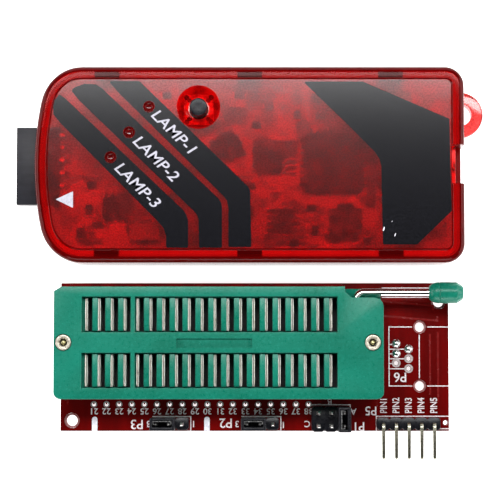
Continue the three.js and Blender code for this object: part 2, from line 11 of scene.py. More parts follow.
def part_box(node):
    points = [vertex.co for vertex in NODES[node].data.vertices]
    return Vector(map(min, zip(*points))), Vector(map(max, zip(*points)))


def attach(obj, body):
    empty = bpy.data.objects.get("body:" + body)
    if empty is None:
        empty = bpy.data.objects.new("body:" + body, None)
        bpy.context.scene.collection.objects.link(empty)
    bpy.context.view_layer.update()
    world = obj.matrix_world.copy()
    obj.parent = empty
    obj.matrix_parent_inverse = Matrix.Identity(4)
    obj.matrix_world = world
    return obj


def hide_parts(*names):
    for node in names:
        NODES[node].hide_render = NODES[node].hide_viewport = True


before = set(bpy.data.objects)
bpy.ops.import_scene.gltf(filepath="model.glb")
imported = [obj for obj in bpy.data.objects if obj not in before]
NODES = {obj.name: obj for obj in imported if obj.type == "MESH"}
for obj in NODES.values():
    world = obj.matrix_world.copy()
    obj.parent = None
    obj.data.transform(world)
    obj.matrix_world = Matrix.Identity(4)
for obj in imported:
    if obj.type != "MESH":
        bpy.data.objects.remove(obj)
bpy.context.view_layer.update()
MM = 0.001
rng = random.Random(7)

# ------------------------------------------------------------------ places, all read from the frame (mm)
def mmbox(node):
    lo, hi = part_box(node)
    return [v / MM for v in lo], [v / MM for v in hi]


def mid(node, axis):
    lo, hi = mmbox(node)
    return (lo[axis] + hi[axis]) / 2


TOP_LO, TOP_HI = mmbox("top_shell")
BOT_LO, BOT_HI = mmbox("bottom_shell")
BRD_LO, BRD_HI = mmbox("socket_board")
BX, BY = (BRD_LO[0] + BRD_HI[0]) / 2, (BRD_LO[1] + BRD_HI[1]) / 2  # the board's centre
BTOP, BBOT = BRD_HI[2], BRD_LO[2]
CASE_Z = TOP_HI[2]
BTN_X, BTN_Y = mid("switch_plunger", 0), mid("switch_plunger", 1)
LED_XY = [(mid(f"led_{k}", 0), mid(f"led_{k}", 1)) for k in (1, 2, 3)]
PITCH = 2.54


# ------------------------------------------------------------------ node helpers
def new_mat(name):
    m = bpy.data.materials.new(name)
    m.use_nodes = True
    t = m.node_tree
    t.nodes.clear()
    out = t.nodes.new("ShaderNodeOutputMaterial")
    return m, t, out


def node(t, kind, **values):
    n = t.nodes.new(kind)
    for k, v in values.items():
        if hasattr(n, k) and k not in n.inputs:
            setattr(n, k, v)
        else:
            n.inputs[k].default_value = v
    return n


def rgb(r, g, b):
    """A display colour, 0 to 255, as linear light."""
    f = lambda c: (c / 255 / 12.92) if c <= 10.3 else ((c / 255 + 0.055) / 1.055) ** 2.4
    return (f(r), f(g), f(b), 1.0)


def noise(t, scale, detail=3.0, rough=0.55, coords=None, distortion=0.0):
    n = node(t, "ShaderNodeTexNoise")
    n.inputs["Scale"].default_value = scale
    n.inputs["Detail"].default_value = detail
    n.inputs["Roughness"].default_value = rough
    n.inputs["Distortion"].default_value = distortion
    if coords is None:
        coords = node(t, "ShaderNodeTexCoord").outputs["Object"]
    t.links.new(coords, n.inputs["Vector"])
    return n.outputs["Fac"]


def stretch(t, factors):
    """Object coordinates scaled per axis, for streaks."""
    tc = node(t, "ShaderNodeTexCoord")
    mp = node(t, "ShaderNodeMapping")
    mp.inputs["Scale"].default_value = factors
    t.links.new(tc.outputs["Object"], mp.inputs["Vector"])
    return mp.outputs["Vector"]


def ramp(t, fac, stops):
    r = node(t, "ShaderNodeValToRGB")
    el = r.color_ramp.elements
    while len(el) < len(stops):
        el.new(0.5)
    for e, (p, c) in zip(el, stops):
        e.position, e.color = p, c
    t.links.new(fac, r.inputs["Fac"])
    return r.outputs["Color"]


def remap(t, fac, lo, hi, a=0.0, b=1.0):
    r = node(t, "ShaderNodeMapRange")
    r.inputs["From Min"].default_value = a
    r.inputs["From Max"].default_value = b
    r.inputs["To Min"].default_value = lo
    r.inputs["To Max"].default_value = hi
    t.links.new(fac, r.inputs["Value"])
    return r.outputs["Result"]


def mix_col(t, fac, a, b, mode="MIX"):
    m = node(t, "ShaderNodeMix")
    m.data_type, m.blend_type = "RGBA", mode
    for sock, v in ((m.inputs[0], fac), (m.inputs[6], a), (m.inputs[7], b)):
        if isinstance(v, (tuple, list, float, int)):
            sock.default_value = v
        else:
            t.links.new(v, sock)
    return m.outputs[2]


def bump(t, height, strength, distance_mm):
    b = node(t, "ShaderNodeBump")
    b.inputs["Strength"].default_value = strength
    b.inputs["Distance"].default_value = distance_mm * MM
    t.links.new(height, b.inputs["Height"])
    return b.outputs["Normal"]


def principled(t, **values):
    p = node(t, "ShaderNodeBsdfPrincipled")
    for k, v in values.items():
        s = p.inputs[k]
        if isinstance(v, (tuple, list, float, int)):
            s.default_value = v
        else:
            t.links.new(v, s)
    return p


def solid(name, colours, scale, rough=(0.35, 0.5), metallic=0.0, bump_scale=None, bump_s=0.15, bump_mm=0.02, coords=None, detail=4.0, ior=1.47, spec=0.5):
    """An opaque material: mottled colour, uneven roughness, fine relief."""
    m, t, out = new_mat(name)
    co = stretch(t, coords) if coords else None
    n = noise(t, scale, detail, 0.6, co)
    col = ramp(t, n, colours)
    r = remap(t, noise(t, scale * 2.3, 3.0, 0.5, co), rough[0], rough[1], 0.3, 0.7)
    nb = bump(t, noise(t, bump_scale or scale * 4, 4.0, 0.6, co), bump_s, bump_mm)
    p = principled(t, **{"Base Color": col, "Roughness": r, "Metallic": metallic, "Normal": nb, "IOR": ior, "Specular IOR Level": spec})
    t.links.new(p.outputs["BSDF"], out.inputs["Surface"])
    return m


def film(name, tint, colours, cover, rough, scale=700, bump_scale=2600, bump_s=0.1, bump_mm=0.02, coat=1.5, haze=0.0, cloud=0.0, grain=0.0, tabs=()):
    """See-through plastic: a tinted clear layer, partly clouded by its own colour, under a gloss that closes up at grazing angles."""
    m, t, out = new_mat(name)
    n = noise(t, scale, 4.0, 0.6)
    col = ramp(t, n, colours)
    mask = None
    for x0, x1 in tabs:  # thicker plastic over the snap hooks
        sx = node(t, "ShaderNodeSeparateXYZ")
        t.links.new(node(t, "ShaderNodeTexCoord").outputs["Object"], sx.inputs[0])
        near = node(t, "ShaderNodeMath", operation="SUBTRACT")
        t.links.new(sx.outputs["X"], near.inputs[0])
        near.inputs[1].default_value = (x0 + x1) / 2 * MM
        far = node(t, "ShaderNodeMath", operation="ABSOLUTE")
        t.links.new(near.outputs[0], far.inputs[0])
        m_ = remap(t, far.outputs[0], 1.0, 0.0, (x1 - x0) / 2 * MM - 0.0001, (x1 - x0) / 2 * MM + 0.0001)
        if mask is None:
            mask = m_
        else:
            both = node(t, "ShaderNodeMath", operation="MAXIMUM")
            t.links.new(mask, both.inputs[0])
            t.links.new(m_, both.inputs[1])
            mask = both.outputs[0]
    if mask is not None:
        col = mix_col(t, mask, col, (0.13, 0.0008, 0.0012, 1))
    nb = bump(t, noise(t, bump_scale, 3.0, 0.6), bump_s, bump_mm)
    body = principled(t, **{"Base Color": col, "Roughness": 0.5, "Normal": nb, "Specular IOR Level": 0.0})
    tr = node(t, "ShaderNodeBsdfTransparent")
    tr.inputs["Color"].default_value = tint
    clear = tr.outputs["BSDF"]
    if mask is not None:
        t.links.new(mix_col(t, mask, tint, (0.4, 0.004, 0.005, 1)), tr.inputs["Color"])
    if grain:
        lo = tuple(c * (1 - grain) for c in tint[:3]) + (1,)
        speckled = ramp(t, noise(t, 3000, 2.0, 0.6), [(0.42, lo), (0.56, tint)])
        t.links.new(speckled, tr.inputs["Color"])
    if haze:
        rf = node(t, "ShaderNodeBsdfRefraction")
        rf.inputs["Color"].default_value = tint
        if grain:
            t.links.new(speckled, rf.inputs["Color"])
        rf.inputs["IOR"].default_value = 1.14
        rf.inputs["Roughness"].default_value = 0.38
        hz = node(t, "ShaderNodeMixShader")
        hz.inputs["Fac"].default_value = haze
        t.links.new(clear, hz.inputs[1])
        t.links.new(rf.outputs["BSDF"], hz.inputs[2])
        clear = hz.outputs["Shader"]
    mx = node(t, "ShaderNodeMixShader")
    mx.inputs["Fac"].default_value = cover
    if cloud:
        t.links.new(remap(t, noise(t, 420, 5.0, 0.65), cover, cover + cloud, 0.44, 0.66), mx.inputs["Fac"])
    t.links.new(clear, mx.inputs[1])
    t.links.new(body.outputs["BSDF"], mx.inputs[2])
    fr = node(t, "ShaderNodeFresnel")
    fr.inputs["IOR"].default_value = coat
    t.links.new(nb, fr.inputs["Normal"])
    gl = node(t, "ShaderNodeBsdfAnisotropic")
    gl.inputs["Color"].default_value = (1, 1, 1, 1)
    gl.inputs["Roughness"].default_value = rough
    t.links.new(nb, gl.inputs["Normal"])
    top_ = node(t, "ShaderNodeMixShader")
    t.links.new(fr.outputs["Fac"], top_.inputs["Fac"])
    t.links.new(mx.outputs["Shader"], top_.inputs[1])
    t.links.new(gl.outputs["BSDF"], top_.inputs[2])
    t.links.new(top_.outputs["Shader"], out.inputs["Surface"])
    return m


# ------------------------------------------------------------------ materials
TINT = (1.0, 0.06, 0.055, 1)
RED = lambda a, b: [(0.3, (a, a * 0.006, a * 0.007, 1)), (0.7, (b, b * 0.008, b * 0.009, 1))]
FIELD = film("case_field", TINT, RED(0.34, 0.56), 0.06, 0.135, 900, 3300, 0.6, 0.0108, 1.62, haze=0.45, cloud=0.12, grain=0.4)
BAND = film("case_band", TINT, RED(0.55, 0.75), 0.28, 0.07, 200, 300, 0.04, 0.02, 1.15, tabs=((-30.7, -25.8), (-2.4, 2.5), (25.5, 30.4)))
# painted shade: the rounded edges and the side walls get darker copies of the band's red plastic, the rounded edges
# darkest, chosen below by each face's slope
FILLET_SHADED = film("case_fillet_shaded", (0.4, 0.012, 0.012, 1), RED(0.08, 0.12), 0.66, 0.1, 200, 300, 0.04, 0.02, 1.18)
SIDE_SHADED = film("case_side_shaded", (0.75, 0.03, 0.03, 1), RED(0.14, 0.2), 0.5, 0.18, 200, 300, 0.05, 0.02, 1.25)
INNER = film("case_inner", (0.98, 0.9, 0.9, 1), RED(0.3, 0.4), 0.04, 0.3, 400, 900, 0.1, 0.02, 1.1)
LUG = film("case_lug", (0.97, 0.3, 0.29, 1), RED(0.5, 0.62), 0.22, 0.08, 300, 500, 0.12, 0.05, 1.5, grain=0.3)
# painted light: the lip inside the USB mouth gets a brighter, denser red to offset the shade it sits in
NOTCH_LIT = film("case_notch_lit", TINT, [(0.36, (0.12, 0.001, 0.001, 1)), (0.46, (0.95, 0.012, 0.012, 1))], 0.85, 0.25, 420, 300, 0.04, 0.02, 1.15)
# painted shade: the LED recesses get a darker copy of the red plastic
DIMPLE_SHADED = film("case_dimple_shaded", (0.4, 0.01, 0.01, 1), RED(0.10, 0.14), 0.6, 0.12, 200, 300, 0.04, 0.02, 1.45)
INK = solid("black_ink", [(0.4, (0.0006, 0.0006, 0.0014, 1)), (0.62, (0.0065, 0.0065, 0.0095, 1))], 3200, (0.135, 0.165), 0, 3300, 0.5, 0.0052)
WHITE = solid("white_print", [(0.3, (0.3, 0.29, 0.34, 1)), (0.55, (0.44, 0.43, 0.5, 1))], 2600, (0.5, 0.6), 0, 5000, 0.2, 0.01)
SILK = solid("board_print", [(0.32, (0.42, 0.31, 0.32, 1)), (0.5, (0.66, 0.6, 0.62, 1)), (0.7, (0.84, 0.8, 0.82, 1))], 3800, (0.5, 0.65), 0, 5000, 0.2, 0.01)
BLACK = solid("black_plastic", [(0.3, (0.004, 0.004, 0.006, 1)), (0.7, (0.010, 0.010, 0.013, 1))], 900, (0.24, 0.34), 0, 2600, 0.18, 0.015, spec=0.2)
HEADER = solid("header_plastic", [(0.3, (0.008, 0.008, 0.011, 1)), (0.7, (0.015, 0.015, 0.02, 1))], 700, (0.4, 0.5), 0, 2600, 0.2, 0.02, coords=(0.35, 1.4, 1), spec=0.25)
CHIP = solid("chip_epoxy", [(0.3, (0.012, 0.011, 0.011, 1)), (0.7, (0.024, 0.02, 0.02, 1))], 1200, (0.5, 0.65), 0, 5200, 0.3, 0.02)
FERRITE = solid("ferrite", [(0.3, (0.015, 0.013, 0.013, 1)), (0.7, (0.04, 0.035, 0.035, 1))], 1800, (0.65, 0.8), 0, 4200, 0.5, 0.04)
AMBER = solid("capacitor_epoxy", [(0.3, (0.3, 0.13, 0.02, 1)), (0.7, (0.42, 0.2, 0.04, 1))], 700, (0.35, 0.5), 0, 3000, 0.15, 0.02)
LENS = solid("lamp_lens", [(0.3, (0.6, 0.55, 0.48, 1)), (0.7, (0.8, 0.76, 0.7, 1))], 700, (0.12, 0.2), 0, 3000, 0.1, 0.01)
TIN = solid("bright_tin", [(0.3, (0.55, 0.54, 0.52, 1)), (0.7, (0.74, 0.73, 0.7, 1))], 600, (0.2, 0.34), 1.0, 2400, 0.12, 0.012)
SOLDER = solid("solder", [(0.3, (0.5, 0.5, 0.5, 1)), (0.7, (0.78, 0.78, 0.77, 1))], 900, (0.16, 0.34), 1.0, 1800, 0.35, 0.03)
CONTACT = solid("contact_metal", [(0.3, (0.45, 0.41, 0.34, 1)), (0.42, (0.86, 0.83, 0.75, 1)), (0.56, (0.99, 0.98, 0.93, 1))], 2300, (0.3, 0.5), 0.15, 4200, 0.5, 0.03, coords=(1, 0.45, 1))
STEEL = solid("lever_steel", [(0.3, (0.66, 0.65, 0.62, 1)), (0.7, (0.78, 0.77, 0.74, 1))], 500, (0.06, 0.1), 1.0, 2400, 0.05, 0.006, coords=(0.12, 1, 1))
GOLD = solid("pin_metal", [(0.3, (0.28, 0.27, 0.21, 1)), (0.7, (0.36, 0.345, 0.27, 1))], 1400, (0.25, 0.36), 1.0, 2400, 0.05, 0.006)
BRASS = solid("rivet_brass", [(0.3, (0.5, 0.46, 0.2, 1)), (0.7, (0.75, 0.7, 0.42, 1))], 1300, (0.25, 0.4), 0.8, 2600, 0.4, 0.03)
RIVET = solid("rivet_tin", [(0.3, (0.42, 0.38, 0.3, 1)), (0.7, (0.68, 0.64, 0.54, 1))], 1300, (0.28, 0.42), 0.6, 2600, 0.4, 0.03)
PLATE = solid("switch_plate", [(0.36, (0.2, 0.1, 0.09, 1)), (0.6, (0.62, 0.45, 0.42, 1))], 700, (0.3, 0.42), 0.9, 2400, 0.3, 0.03)
# near-black: the switch body's corner posts, and painted shade in the contact troughs and rivet bores
DARK_PLASTIC_AND_SHADE = solid("shadow_plastic", [(0.3, (0.004, 0.004, 0.006, 1)), (0.7, (0.009, 0.009, 0.012, 1))], 900, (0.5, 0.6), 0, 2600, 0.1, 0.01)


def green_material():
    m, t, out = new_mat("green_plastic")
    broad = noise(t, 90, 3.0, 0.55)
    fine = noise(t, 1500, 5.0, 0.65)
    base = ramp(t, broad, [(0.32, (0.0025, 0.115, 0.072, 1)), (0.68, (0.0050, 0.160, 0.106, 1))])
    col = mix_col(t, remap(t, fine, 0.0, 0.55, 0.52, 0.78), base, (0.010, 0.215, 0.158, 1))
    speck = noise(t, 4200, 2.0, 0.5)
    col = mix_col(t, remap(t, speck, 0.0, 0.35, 0.62, 0.74), col, (0.045, 0.34, 0.26, 1))
    r = remap(t, fine, 0.25, 0.34, 0.3, 0.7)
    nb = bump(t, fine, 0.22, 0.03)
    p = principled(t, **{"Base Color": col, "Roughness": r, "Normal": nb, "IOR": 1.5, "Specular IOR Level": 0.22})
    t.links.new(p.outputs["BSDF"], out.inputs["Surface"])
    return m


def board_material(name, dark, light, edge, rough=(0.2, 0.3), blotch=0.0):
    """Solder resist over copper: faint tracks under the lacquer, bare laminate on the cut edges."""
    m, t, out = new_mat(name)
    tc = node(t, "ShaderNodeTexCoord")
    mp = node(t, "ShaderNodeMapping")
    mp.inputs["Rotation"].default_value = (0, 0, math.radians(45))
    mp.inputs["Scale"].default_value = (1, 0.16, 1)
    t.links.new(tc.outputs["Object"], mp.inputs["Vector"])
    streak = noise(t, 260, 2.0, 0.5, mp.outputs["Vector"])
    broad = noise(t, 60, 2.0, 0.5)
    col = mix_col(t, remap(t, streak, 0.0, 1.0, 0.42, 0.62), dark, light)
    col = mix_col(t, remap(t, broad, 0.0, 0.4, 0.35, 0.7), col, tuple(c * 0.55 for c in dark[:3]) + (1,))
    if blotch:
        col = mix_col(t, remap(t, noise(t, 330, 4.0, 0.62), 0.0, blotch, 0.46, 0.6), col, (0.06, 0.006, 0.006, 1))
    weave = noise(t, 3000, 3.0, 0.6)
    geo = node(t, "ShaderNodeNewGeometry")
    sep = node(t, "ShaderNodeSeparateXYZ")
    t.links.new(geo.outputs["True Normal"], sep.inputs[0])
    ab = node(t, "ShaderNodeMath", operation="ABSOLUTE")
    t.links.new(sep.outputs["Z"], ab.inputs[0])
    cut = mix_col(t, remap(t, weave, 0.3, 1.0, 0.35, 0.65), tuple(c * 0.6 for c in edge[:3]) + (1,), edge)
    col = mix_col(t, remap(t, ab.outputs[0], 0.0, 1.0, 0.4, 0.6), cut, col)
    r = remap(t, weave, rough[0], rough[1], 0.3, 0.7)
    nb = bump(t, weave, 0.08, 0.01)
    p = principled(t, **{"Base Color": col, "Roughness": r, "Normal": nb, "IOR": 1.52, "Specular IOR Level": 0.25})
    t.links.new(p.outputs["BSDF"], out.inputs["Surface"])
    return m


GREEN = green_material()
BOARD = board_material("board_red", (0.085, 0.0002, 0.0002, 1), (0.135, 0.0004, 0.0004, 1), (0.2, 0.1, 0.05, 1), (0.15, 0.2))
MAIN = board_material("main_board_red", (0.75, 0.05, 0.04, 1), (1.0, 0.1, 0.08, 1), (0.3, 0.12, 0.06, 1), (0.4, 0.55), blotch=0.75)
TRACK = solid("board_track", [(0.3, (0.115, 0.0004, 0.0004, 1)), (0.7, (0.15, 0.0006, 0.0006, 1))], 400, (0.2, 0.3), 0, 2600, 0.06, 0.01)


# ------------------------------------------------------------------ mesh helpers
def put(name, me, mats, body, smooth=None):
    o = bpy.data.objects.new(name, me)
    bpy.context.scene.collection.objects.link(o)
    me.materials.clear()
    for m in mats if isinstance(mats, (list, tuple)) else [mats]:
        me.materials.append(m)
    if smooth is not None:
        shade(me, smooth)
    if body:
        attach(o, body)
    return o


def shade(me, angle):
    me.shade_smooth()
    me.set_sharp_from_angle(angle=math.radians(angle))


def data(name, verts, faces):
    me = bpy.data.meshes.new(name)
    me.from_pydata([tuple(c * MM for c in v) for v in verts], [], faces)
    me.validate()
    bm = bmesh.new()
    bm.from_mesh(me)
    bmesh.ops.remove_doubles(bm, verts=bm.verts, dist=1e-7)
    bmesh.ops.recalc_face_normals(bm, faces=bm.faces)
    bm.to_mesh(me)
    bm.free()
    return me


def baked(o):
    """The object's mesh with its modifiers applied."""
    bpy.context.view_layer.update()
    dg = bpy.context.evaluated_depsgraph_get()
    me = bpy.data.meshes.new_from_object(o.evaluated_get(dg))
    o.modifiers.clear()
    o.data = me
    return me


def bevel(o, width_mm, segments=2, angle=35, smooth=40):
    b = o.modifiers.new("edge", "BEVEL")
    b.width, b.segments, b.limit_method, b.angle_limit = width_mm * MM, segments, "ANGLE", math.radians(angle)
    b.harden_normals = False
    b.miter_outer = "MITER_ARC"
    mats = list(o.data.materials)
    me = baked(o)
    if not me.materials:
        for m in mats:
            me.materials.append(m)
    shade(me, smooth)
    return o


def loft(rings, caps=True):
    """rings: lists of equal length of (x, y, z) in mm."""
    n = len(rings[0])
    v = [p for r in rings for p in r]
    f = []
    for r in range(len(rings) - 1):
        for i in range(n):
            a, b = r * n + i, r * n + (i + 1) % n
            f.append((a, b, b + n, a + n))
    if caps:
        f.append(tuple(range(n))[::-1])
        f.append(tuple(range((len(rings) - 1) * n, len(rings) * n)))
    return v, f


def lathe(profile, steps=48, axis="z", at=(0, 0, 0), waves=None):
    """profile of (radius, height) from axis to axis; waves(i, angle) scales the radius at point i."""
    v, f = [], []
    for i, (r, h) in enumerate(profile):
        for k in range(steps):
            a = 2 * math.pi * k / steps
            q = r * (waves(i, a) if waves else 1.0)
            x, y = q * math.cos(a), q * math.sin(a)
            p = (x, y, h) if axis == "z" else (h, x, y)
            v.append(tuple(c + d for c, d in zip(p, at)))
    m = len(profile)
    for i in range(m - 1):
        for k in range(steps):
            a, b = i * steps + k, i * steps + (k + 1) % steps
            f.append((a, b, b + steps, a + steps))
    if profile[0][0] > 1e-6:
        f.append(tuple(range(steps))[::-1])
    if profile[-1][0] > 1e-6:
        f.append(tuple(range((m - 1) * steps, m * steps)))
    return v, f


def boxes(list_of):
    """Several boxes, each (x0, x1, y0, y1, z0, z1), as one vertex and face list."""
    v, f = [], []
    for x0, x1, y0, y1, z0, z1 in list_of:
        o = len(v)
        v += [(x0, y0, z0), (x1, y0, z0), (x1, y1, z0), (x0, y1, z0), (x0, y0, z1), (x1, y0, z1), (x1, y1, z1), (x0, y1, z1)]
        f += [tuple(o + i for i in q) for q in ((3, 2, 1, 0), (4, 5, 6, 7), (0, 1, 5, 4), (1, 2, 6, 5), (2, 3, 7, 6), (3, 0, 4, 7))]
    return v, f


def prism(points, z0, z1):
    return loft([[(x, y, z0) for x, y in points], [(x, y, z1) for x, y in points]])


def boolean(o, verts_faces, op="DIFFERENCE", index=0):
    me = data("cutter", *verts_faces)
    c = bpy.data.objects.new("cutter", me)
    bpy.context.scene.collection.objects.link(c)
    b = o.modifiers.new("cut", "BOOLEAN")
    b.operation, b.object, b.solver = op, c, "EXACT"
    baked(o)
    bpy.data.objects.remove(c)


def joined(*parts):
    v, f = [], []
    for pv, pf in parts:
        o = len(v)
        v += pv
        f += [tuple(i + o for i in q) for q in pf]
    return v, f


def flat(name, polys, z, thick, mat, body, round_=0.0):
    """A flat shape: closed outlines in mm, holes included, from height z up, with its edges rounded if asked."""
    cu = bpy.data.curves.new(name, "CURVE")
    cu.dimensions, cu.fill_mode = "2D", "BOTH"
    cu.extrude = (thick / 2 - round_) * MM
    if round_:
        cu.bevel_depth, cu.bevel_resolution, cu.offset = round_ * MM, 2, -round_ * MM
    for pts in polys:
        s = cu.splines.new("POLY")
        s.points.add(len(pts) - 1)
        for p, (x, y) in zip(s.points, pts):
            p.co = (x * MM, y * MM, 0, 1)
        s.use_cyclic_u = True
    tmp = bpy.data.objects.new(name + "_c", cu)
    bpy.context.scene.collection.objects.link(tmp)
    bpy.context.view_layer.update()
    me = bpy.data.meshes.new_from_object(tmp.evaluated_get(bpy.context.evaluated_depsgraph_get()))
    bpy.data.objects.remove(tmp)
    me.transform(Matrix.Translation((0, 0, (z + thick / 2) * MM)))
    bm = bmesh.new()
    bm.from_mesh(me)
    bmesh.ops.remove_doubles(bm, verts=bm.verts, dist=2e-6)
    bmesh.ops.recalc_face_normals(bm, faces=bm.faces)
    bm.to_mesh(me)
    bm.free()
    return put(name, me, mat, body)


def ribbon(points, w, ends=0.0):
    """Outline of a line of width w along points, mitred."""
    pts = [Vector(p) for p in points]
    left, right = [], []
    for i, p in enumerate(pts):
        d1 = (p - pts[i - 1]).normalized() if i else (pts[1] - p).normalized()
        d2 = (pts[i + 1] - p).normalized() if i + 1 < len(pts) else d1
        n = Vector((-(d1.y + d2.y), d1.x + d2.x)).normalized()
        k = (w / 2) / max(0.35, n.dot(Vector((-d1.y, d1.x))))
        q = p.copy()
        if ends and i == 0:
            q -= d1 * ends
        if ends and i == len(pts) - 1:
            q += d1 * ends
        left.append(tuple(q + n * k))
        right.append(tuple(q - n * k))
    return left + right[::-1]


def disc(x, y, r, n=24, start=0.0):
    return [(x + r * math.cos(start + 2 * math.pi * k / n), y + r * math.sin(start + 2 * math.pi * k / n)) for k in range(n)]


def soften(points, r, n=4):
    """Rounds each corner of a closed outline."""
    out = []
    m = len(points)
    for i in range(m):
        a, p, b = (Vector(points[(i + k) % m]) for k in (-1, 0, 1))
        u, v = (a - p), (b - p)
        lu, lv = u.length, v.length
        u.normalize(), v.normalize()
        ang = u.angle(v)
        if ang > math.radians(172):
            out.append(tuple(p))
            continue
        d = min(r / math.tan(ang / 2), lu * 0.45, lv * 0.45)
        p0, p1 = p + u * d, p + v * d
        for k in range(n + 1):
            t = k / n
            out.append(tuple(p0 * (1 - t) ** 2 + p * 2 * t * (1 - t) + p1 * t * t))
    return out


def text(name, s, x, y, z, size, rot, mat, body, slot=None, shear=0.0, bold=0.0, thick=0.02, space=1.0, wide=1.0):
    cu = bpy.data.curves.new(name, "FONT")
    cu.body, cu.size, cu.align_x, cu.align_y = s, size * MM, "CENTER", "CENTER"
    cu.shear, cu.offset, cu.extrude = shear, bold * MM, thick * MM / 2
    cu.space_character = space
    cu.resolution_u = 4
    tmp = bpy.data.objects.new(name + "_c", cu)
    bpy.context.scene.collection.objects.link(tmp)
    bpy.context.view_layer.update()
    me = bpy.data.meshes.new_from_object(tmp.evaluated_get(bpy.context.evaluated_depsgraph_get()))
    bpy.data.objects.remove(tmp)
    me.transform(Matrix.Translation((x * MM, y * MM, (z + thick / 2) * MM)) @ Matrix.Rotation(math.radians(rot), 4, "Z") @ Matrix.Diagonal((wide, 1, 1, 1)))
    return put(name, me, mat, body)


def from_cad(node_name, name, mat, body, width=0.1, segments=2, smooth=40, angle=35):
    """A bevelled piece in the exact place and shape of a CAD node, which it replaces."""
    me = NODES[node_name].data.copy()
    me.name = name
    bm = bmesh.new()
    bm.from_mesh(me)
    bmesh.ops.remove_doubles(bm, verts=bm.verts, dist=3e-6)
    if width:
        bmesh.ops.dissolve_limit(bm, angle_limit=math.radians(1.5), verts=bm.verts, edges=bm.edges)
    bm.to_mesh(me)
    bm.free()
    o = put(name, me, mat, None)
    if width:
        bevel(o, width, segments, angle, smooth)
    else:
        shade(o.data, smooth)
    o.data.materials.clear()
    o.data.materials.append(mat)
    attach(o, body)
    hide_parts(node_name)
    return o


def dress(node_name, mat, smooth=None):
    """A CAD node kept as it is, with a finished material."""
    o = NODES[node_name]
    if not o.material_slots:
        o.data.materials.append(mat)
    for s in o.material_slots:
        s.material = mat


# ------------------------------------------------------------------ case outline
X1, HW, RC = TOP_HI[0], TOP_HI[1], 3.8


def bez(p0, p1, p2, p3, n):
    out = []
    for k in range(n):
        t = k / n
        out.append(tuple((1 - t) ** 3 * a + 3 * (1 - t) ** 2 * t * b + 3 * (1 - t) * t * t * c + t ** 3 * d for a, b, c, d in zip(p0, p1, p2, p3)))
    return out


def case_outline(k=1.0):
    H, R, c = HW, X1, RC
    n = int(14 * k)
    arc = lambda cx, cy, a0: [(cx + c * math.cos(math.radians(a0 + 90 * i / n)), cy + c * math.sin(math.radians(a0 + 90 * i / n))) for i in range(n)]
    pts = arc(R - c, H - c, 0)
    pts += [(R - c - (R - c + 33.2) * i / 10, H) for i in range(10)]
    pts += bez((-33.2, H), (-37.4, H), (-40.5, 16.4), (-41.35, 12.6), n)
    pts += bez((-41.35, 12.6), (-43.05, 4.2), (-43.05, -4.2), (-41.35, -12.6), n)
    pts += bez((-41.35, -12.6), (-40.5, -16.4), (-37.4, -H), (-33.2, -H), n)
    pts += [(-33.2 + (R - c + 33.2) * i / 10, -H) for i in range(10)]
    pts += arc(R - c, -H + c, 270)
    pts += [(R, -H + c + (2 * H - 2 * c) * i / 6) for i in range(6)]
    return pts


OUT = case_outline()


def inset(d, pts=None):
    pts = pts or OUT
    out, n = [], len(pts)
    for i, p in enumerate(pts):
        a, b = Vector(pts[i - 1]), Vector(pts[(i + 1) % n])
        p = Vector(p)
        e, f = (p - a).normalized(), (b - p).normalized()
        m = Vector((-(e.y + f.y), e.x + f.x)).normalized()
        k = d / max(0.3, m.dot(Vector((-e.y, e.x))))
        out.append((p.x + m.x * k, p.y + m.y * k))
    return out


def depth_in(x, y):
    """Distance in from the case's outline."""
    best = 1e9
    n = len(OUT)
    for i in range(n):
        ax, ay = OUT[i]
        bx, by = OUT[(i + 1) % n]
        dx, dy = bx - ax, by - ay
        t = max(0.0, min(1.0, ((x - ax) * dx + (y - ay) * dy) / (dx * dx + dy * dy)))
        best = min(best, math.hypot(x - ax - t * dx, y - ay - t * dy))
    return best


def ring(d, z):
    return [(x, y, z) for x, y in inset(d)]


SPLIT = 7.0  # parting line
ROOF = CASE_Z - 1.8
BAND_Z = CASE_Z - 0.4
ER = 1.4
FO = 2.75

# ------------------------------------------------------------------ top shell
rings = [ring(1.6, SPLIT + 0.05), ring(0.18, SPLIT + 0.05), ring(0, SPLIT + 0.24), ring(0, BAND_Z - ER)]
for k in range(1, 9):
    a = math.radians(90 * k / 8)
    rings.append(ring(ER * (1 - math.cos(a)), BAND_Z - ER + ER * math.sin(a)))
rings += [ring(FO - 0.42, BAND_Z), ring(FO - 0.34, BAND_Z + 0.05), ring(FO - 0.18, CASE_Z - 0.08), ring(FO, CASE_Z)]
v, f = loft(rings)
top = put("case_top", data("case_top", v, f), [FIELD, BAND, FILLET_SHADED, SIDE_SHADED, INNER, DIMPLE_SHADED], None)
boolean(top, prism(inset(1.6), SPLIT - 1, ROOF))
cup = lathe([(0, 10.55), (5.0, 10.55), (5.0, ROOF + 0.3), (0, ROOF + 0.3)], 56, at=(BTN_X, BTN_Y, 0))
boolean(top, cup, "UNION")
dish = [(0, 11.5), (2.75, 11.5), (2.95, 11.56), (3.12, 11.75), (3.3, 12.15), (3.5, 12.7), (3.72, 13.25), (3.92, 13.65), (4.16, 13.93), (4.45, CASE_Z + 0.04), (4.45, CASE_Z + 0.5), (0, CASE_Z + 0.5)]
boolean(top, lathe(dish, 64, at=(BTN_X, BTN_Y, 0)))
boolean(top, lathe([(0, 10.0), (2.05, 10.0), (2.05, 12.0), (0, 12.0)], 48, at=(BTN_X, BTN_Y, 0)))
for x, y in LED_XY:
    cap = [(0, CASE_Z - 1.0)] + [(1.12 * math.sin(math.radians(a)), CASE_Z - 1.0 * math.cos(math.radians(a))) for a in (15, 30, 45, 60, 75, 88)] + [(1.12, CASE_Z + 0.5), (0, CASE_Z + 0.5)]
    boolean(top, lathe(cap, 28, at=(x, y, 0)))
boolean(top, boxes([(-46, -37.5, -7.95, 7.95, SPLIT - 1, 9.45)]))
boolean(top, boxes([(39.95, 44, -3.85, 3.85, SPLIT - 1, CASE_Z + 1)]))
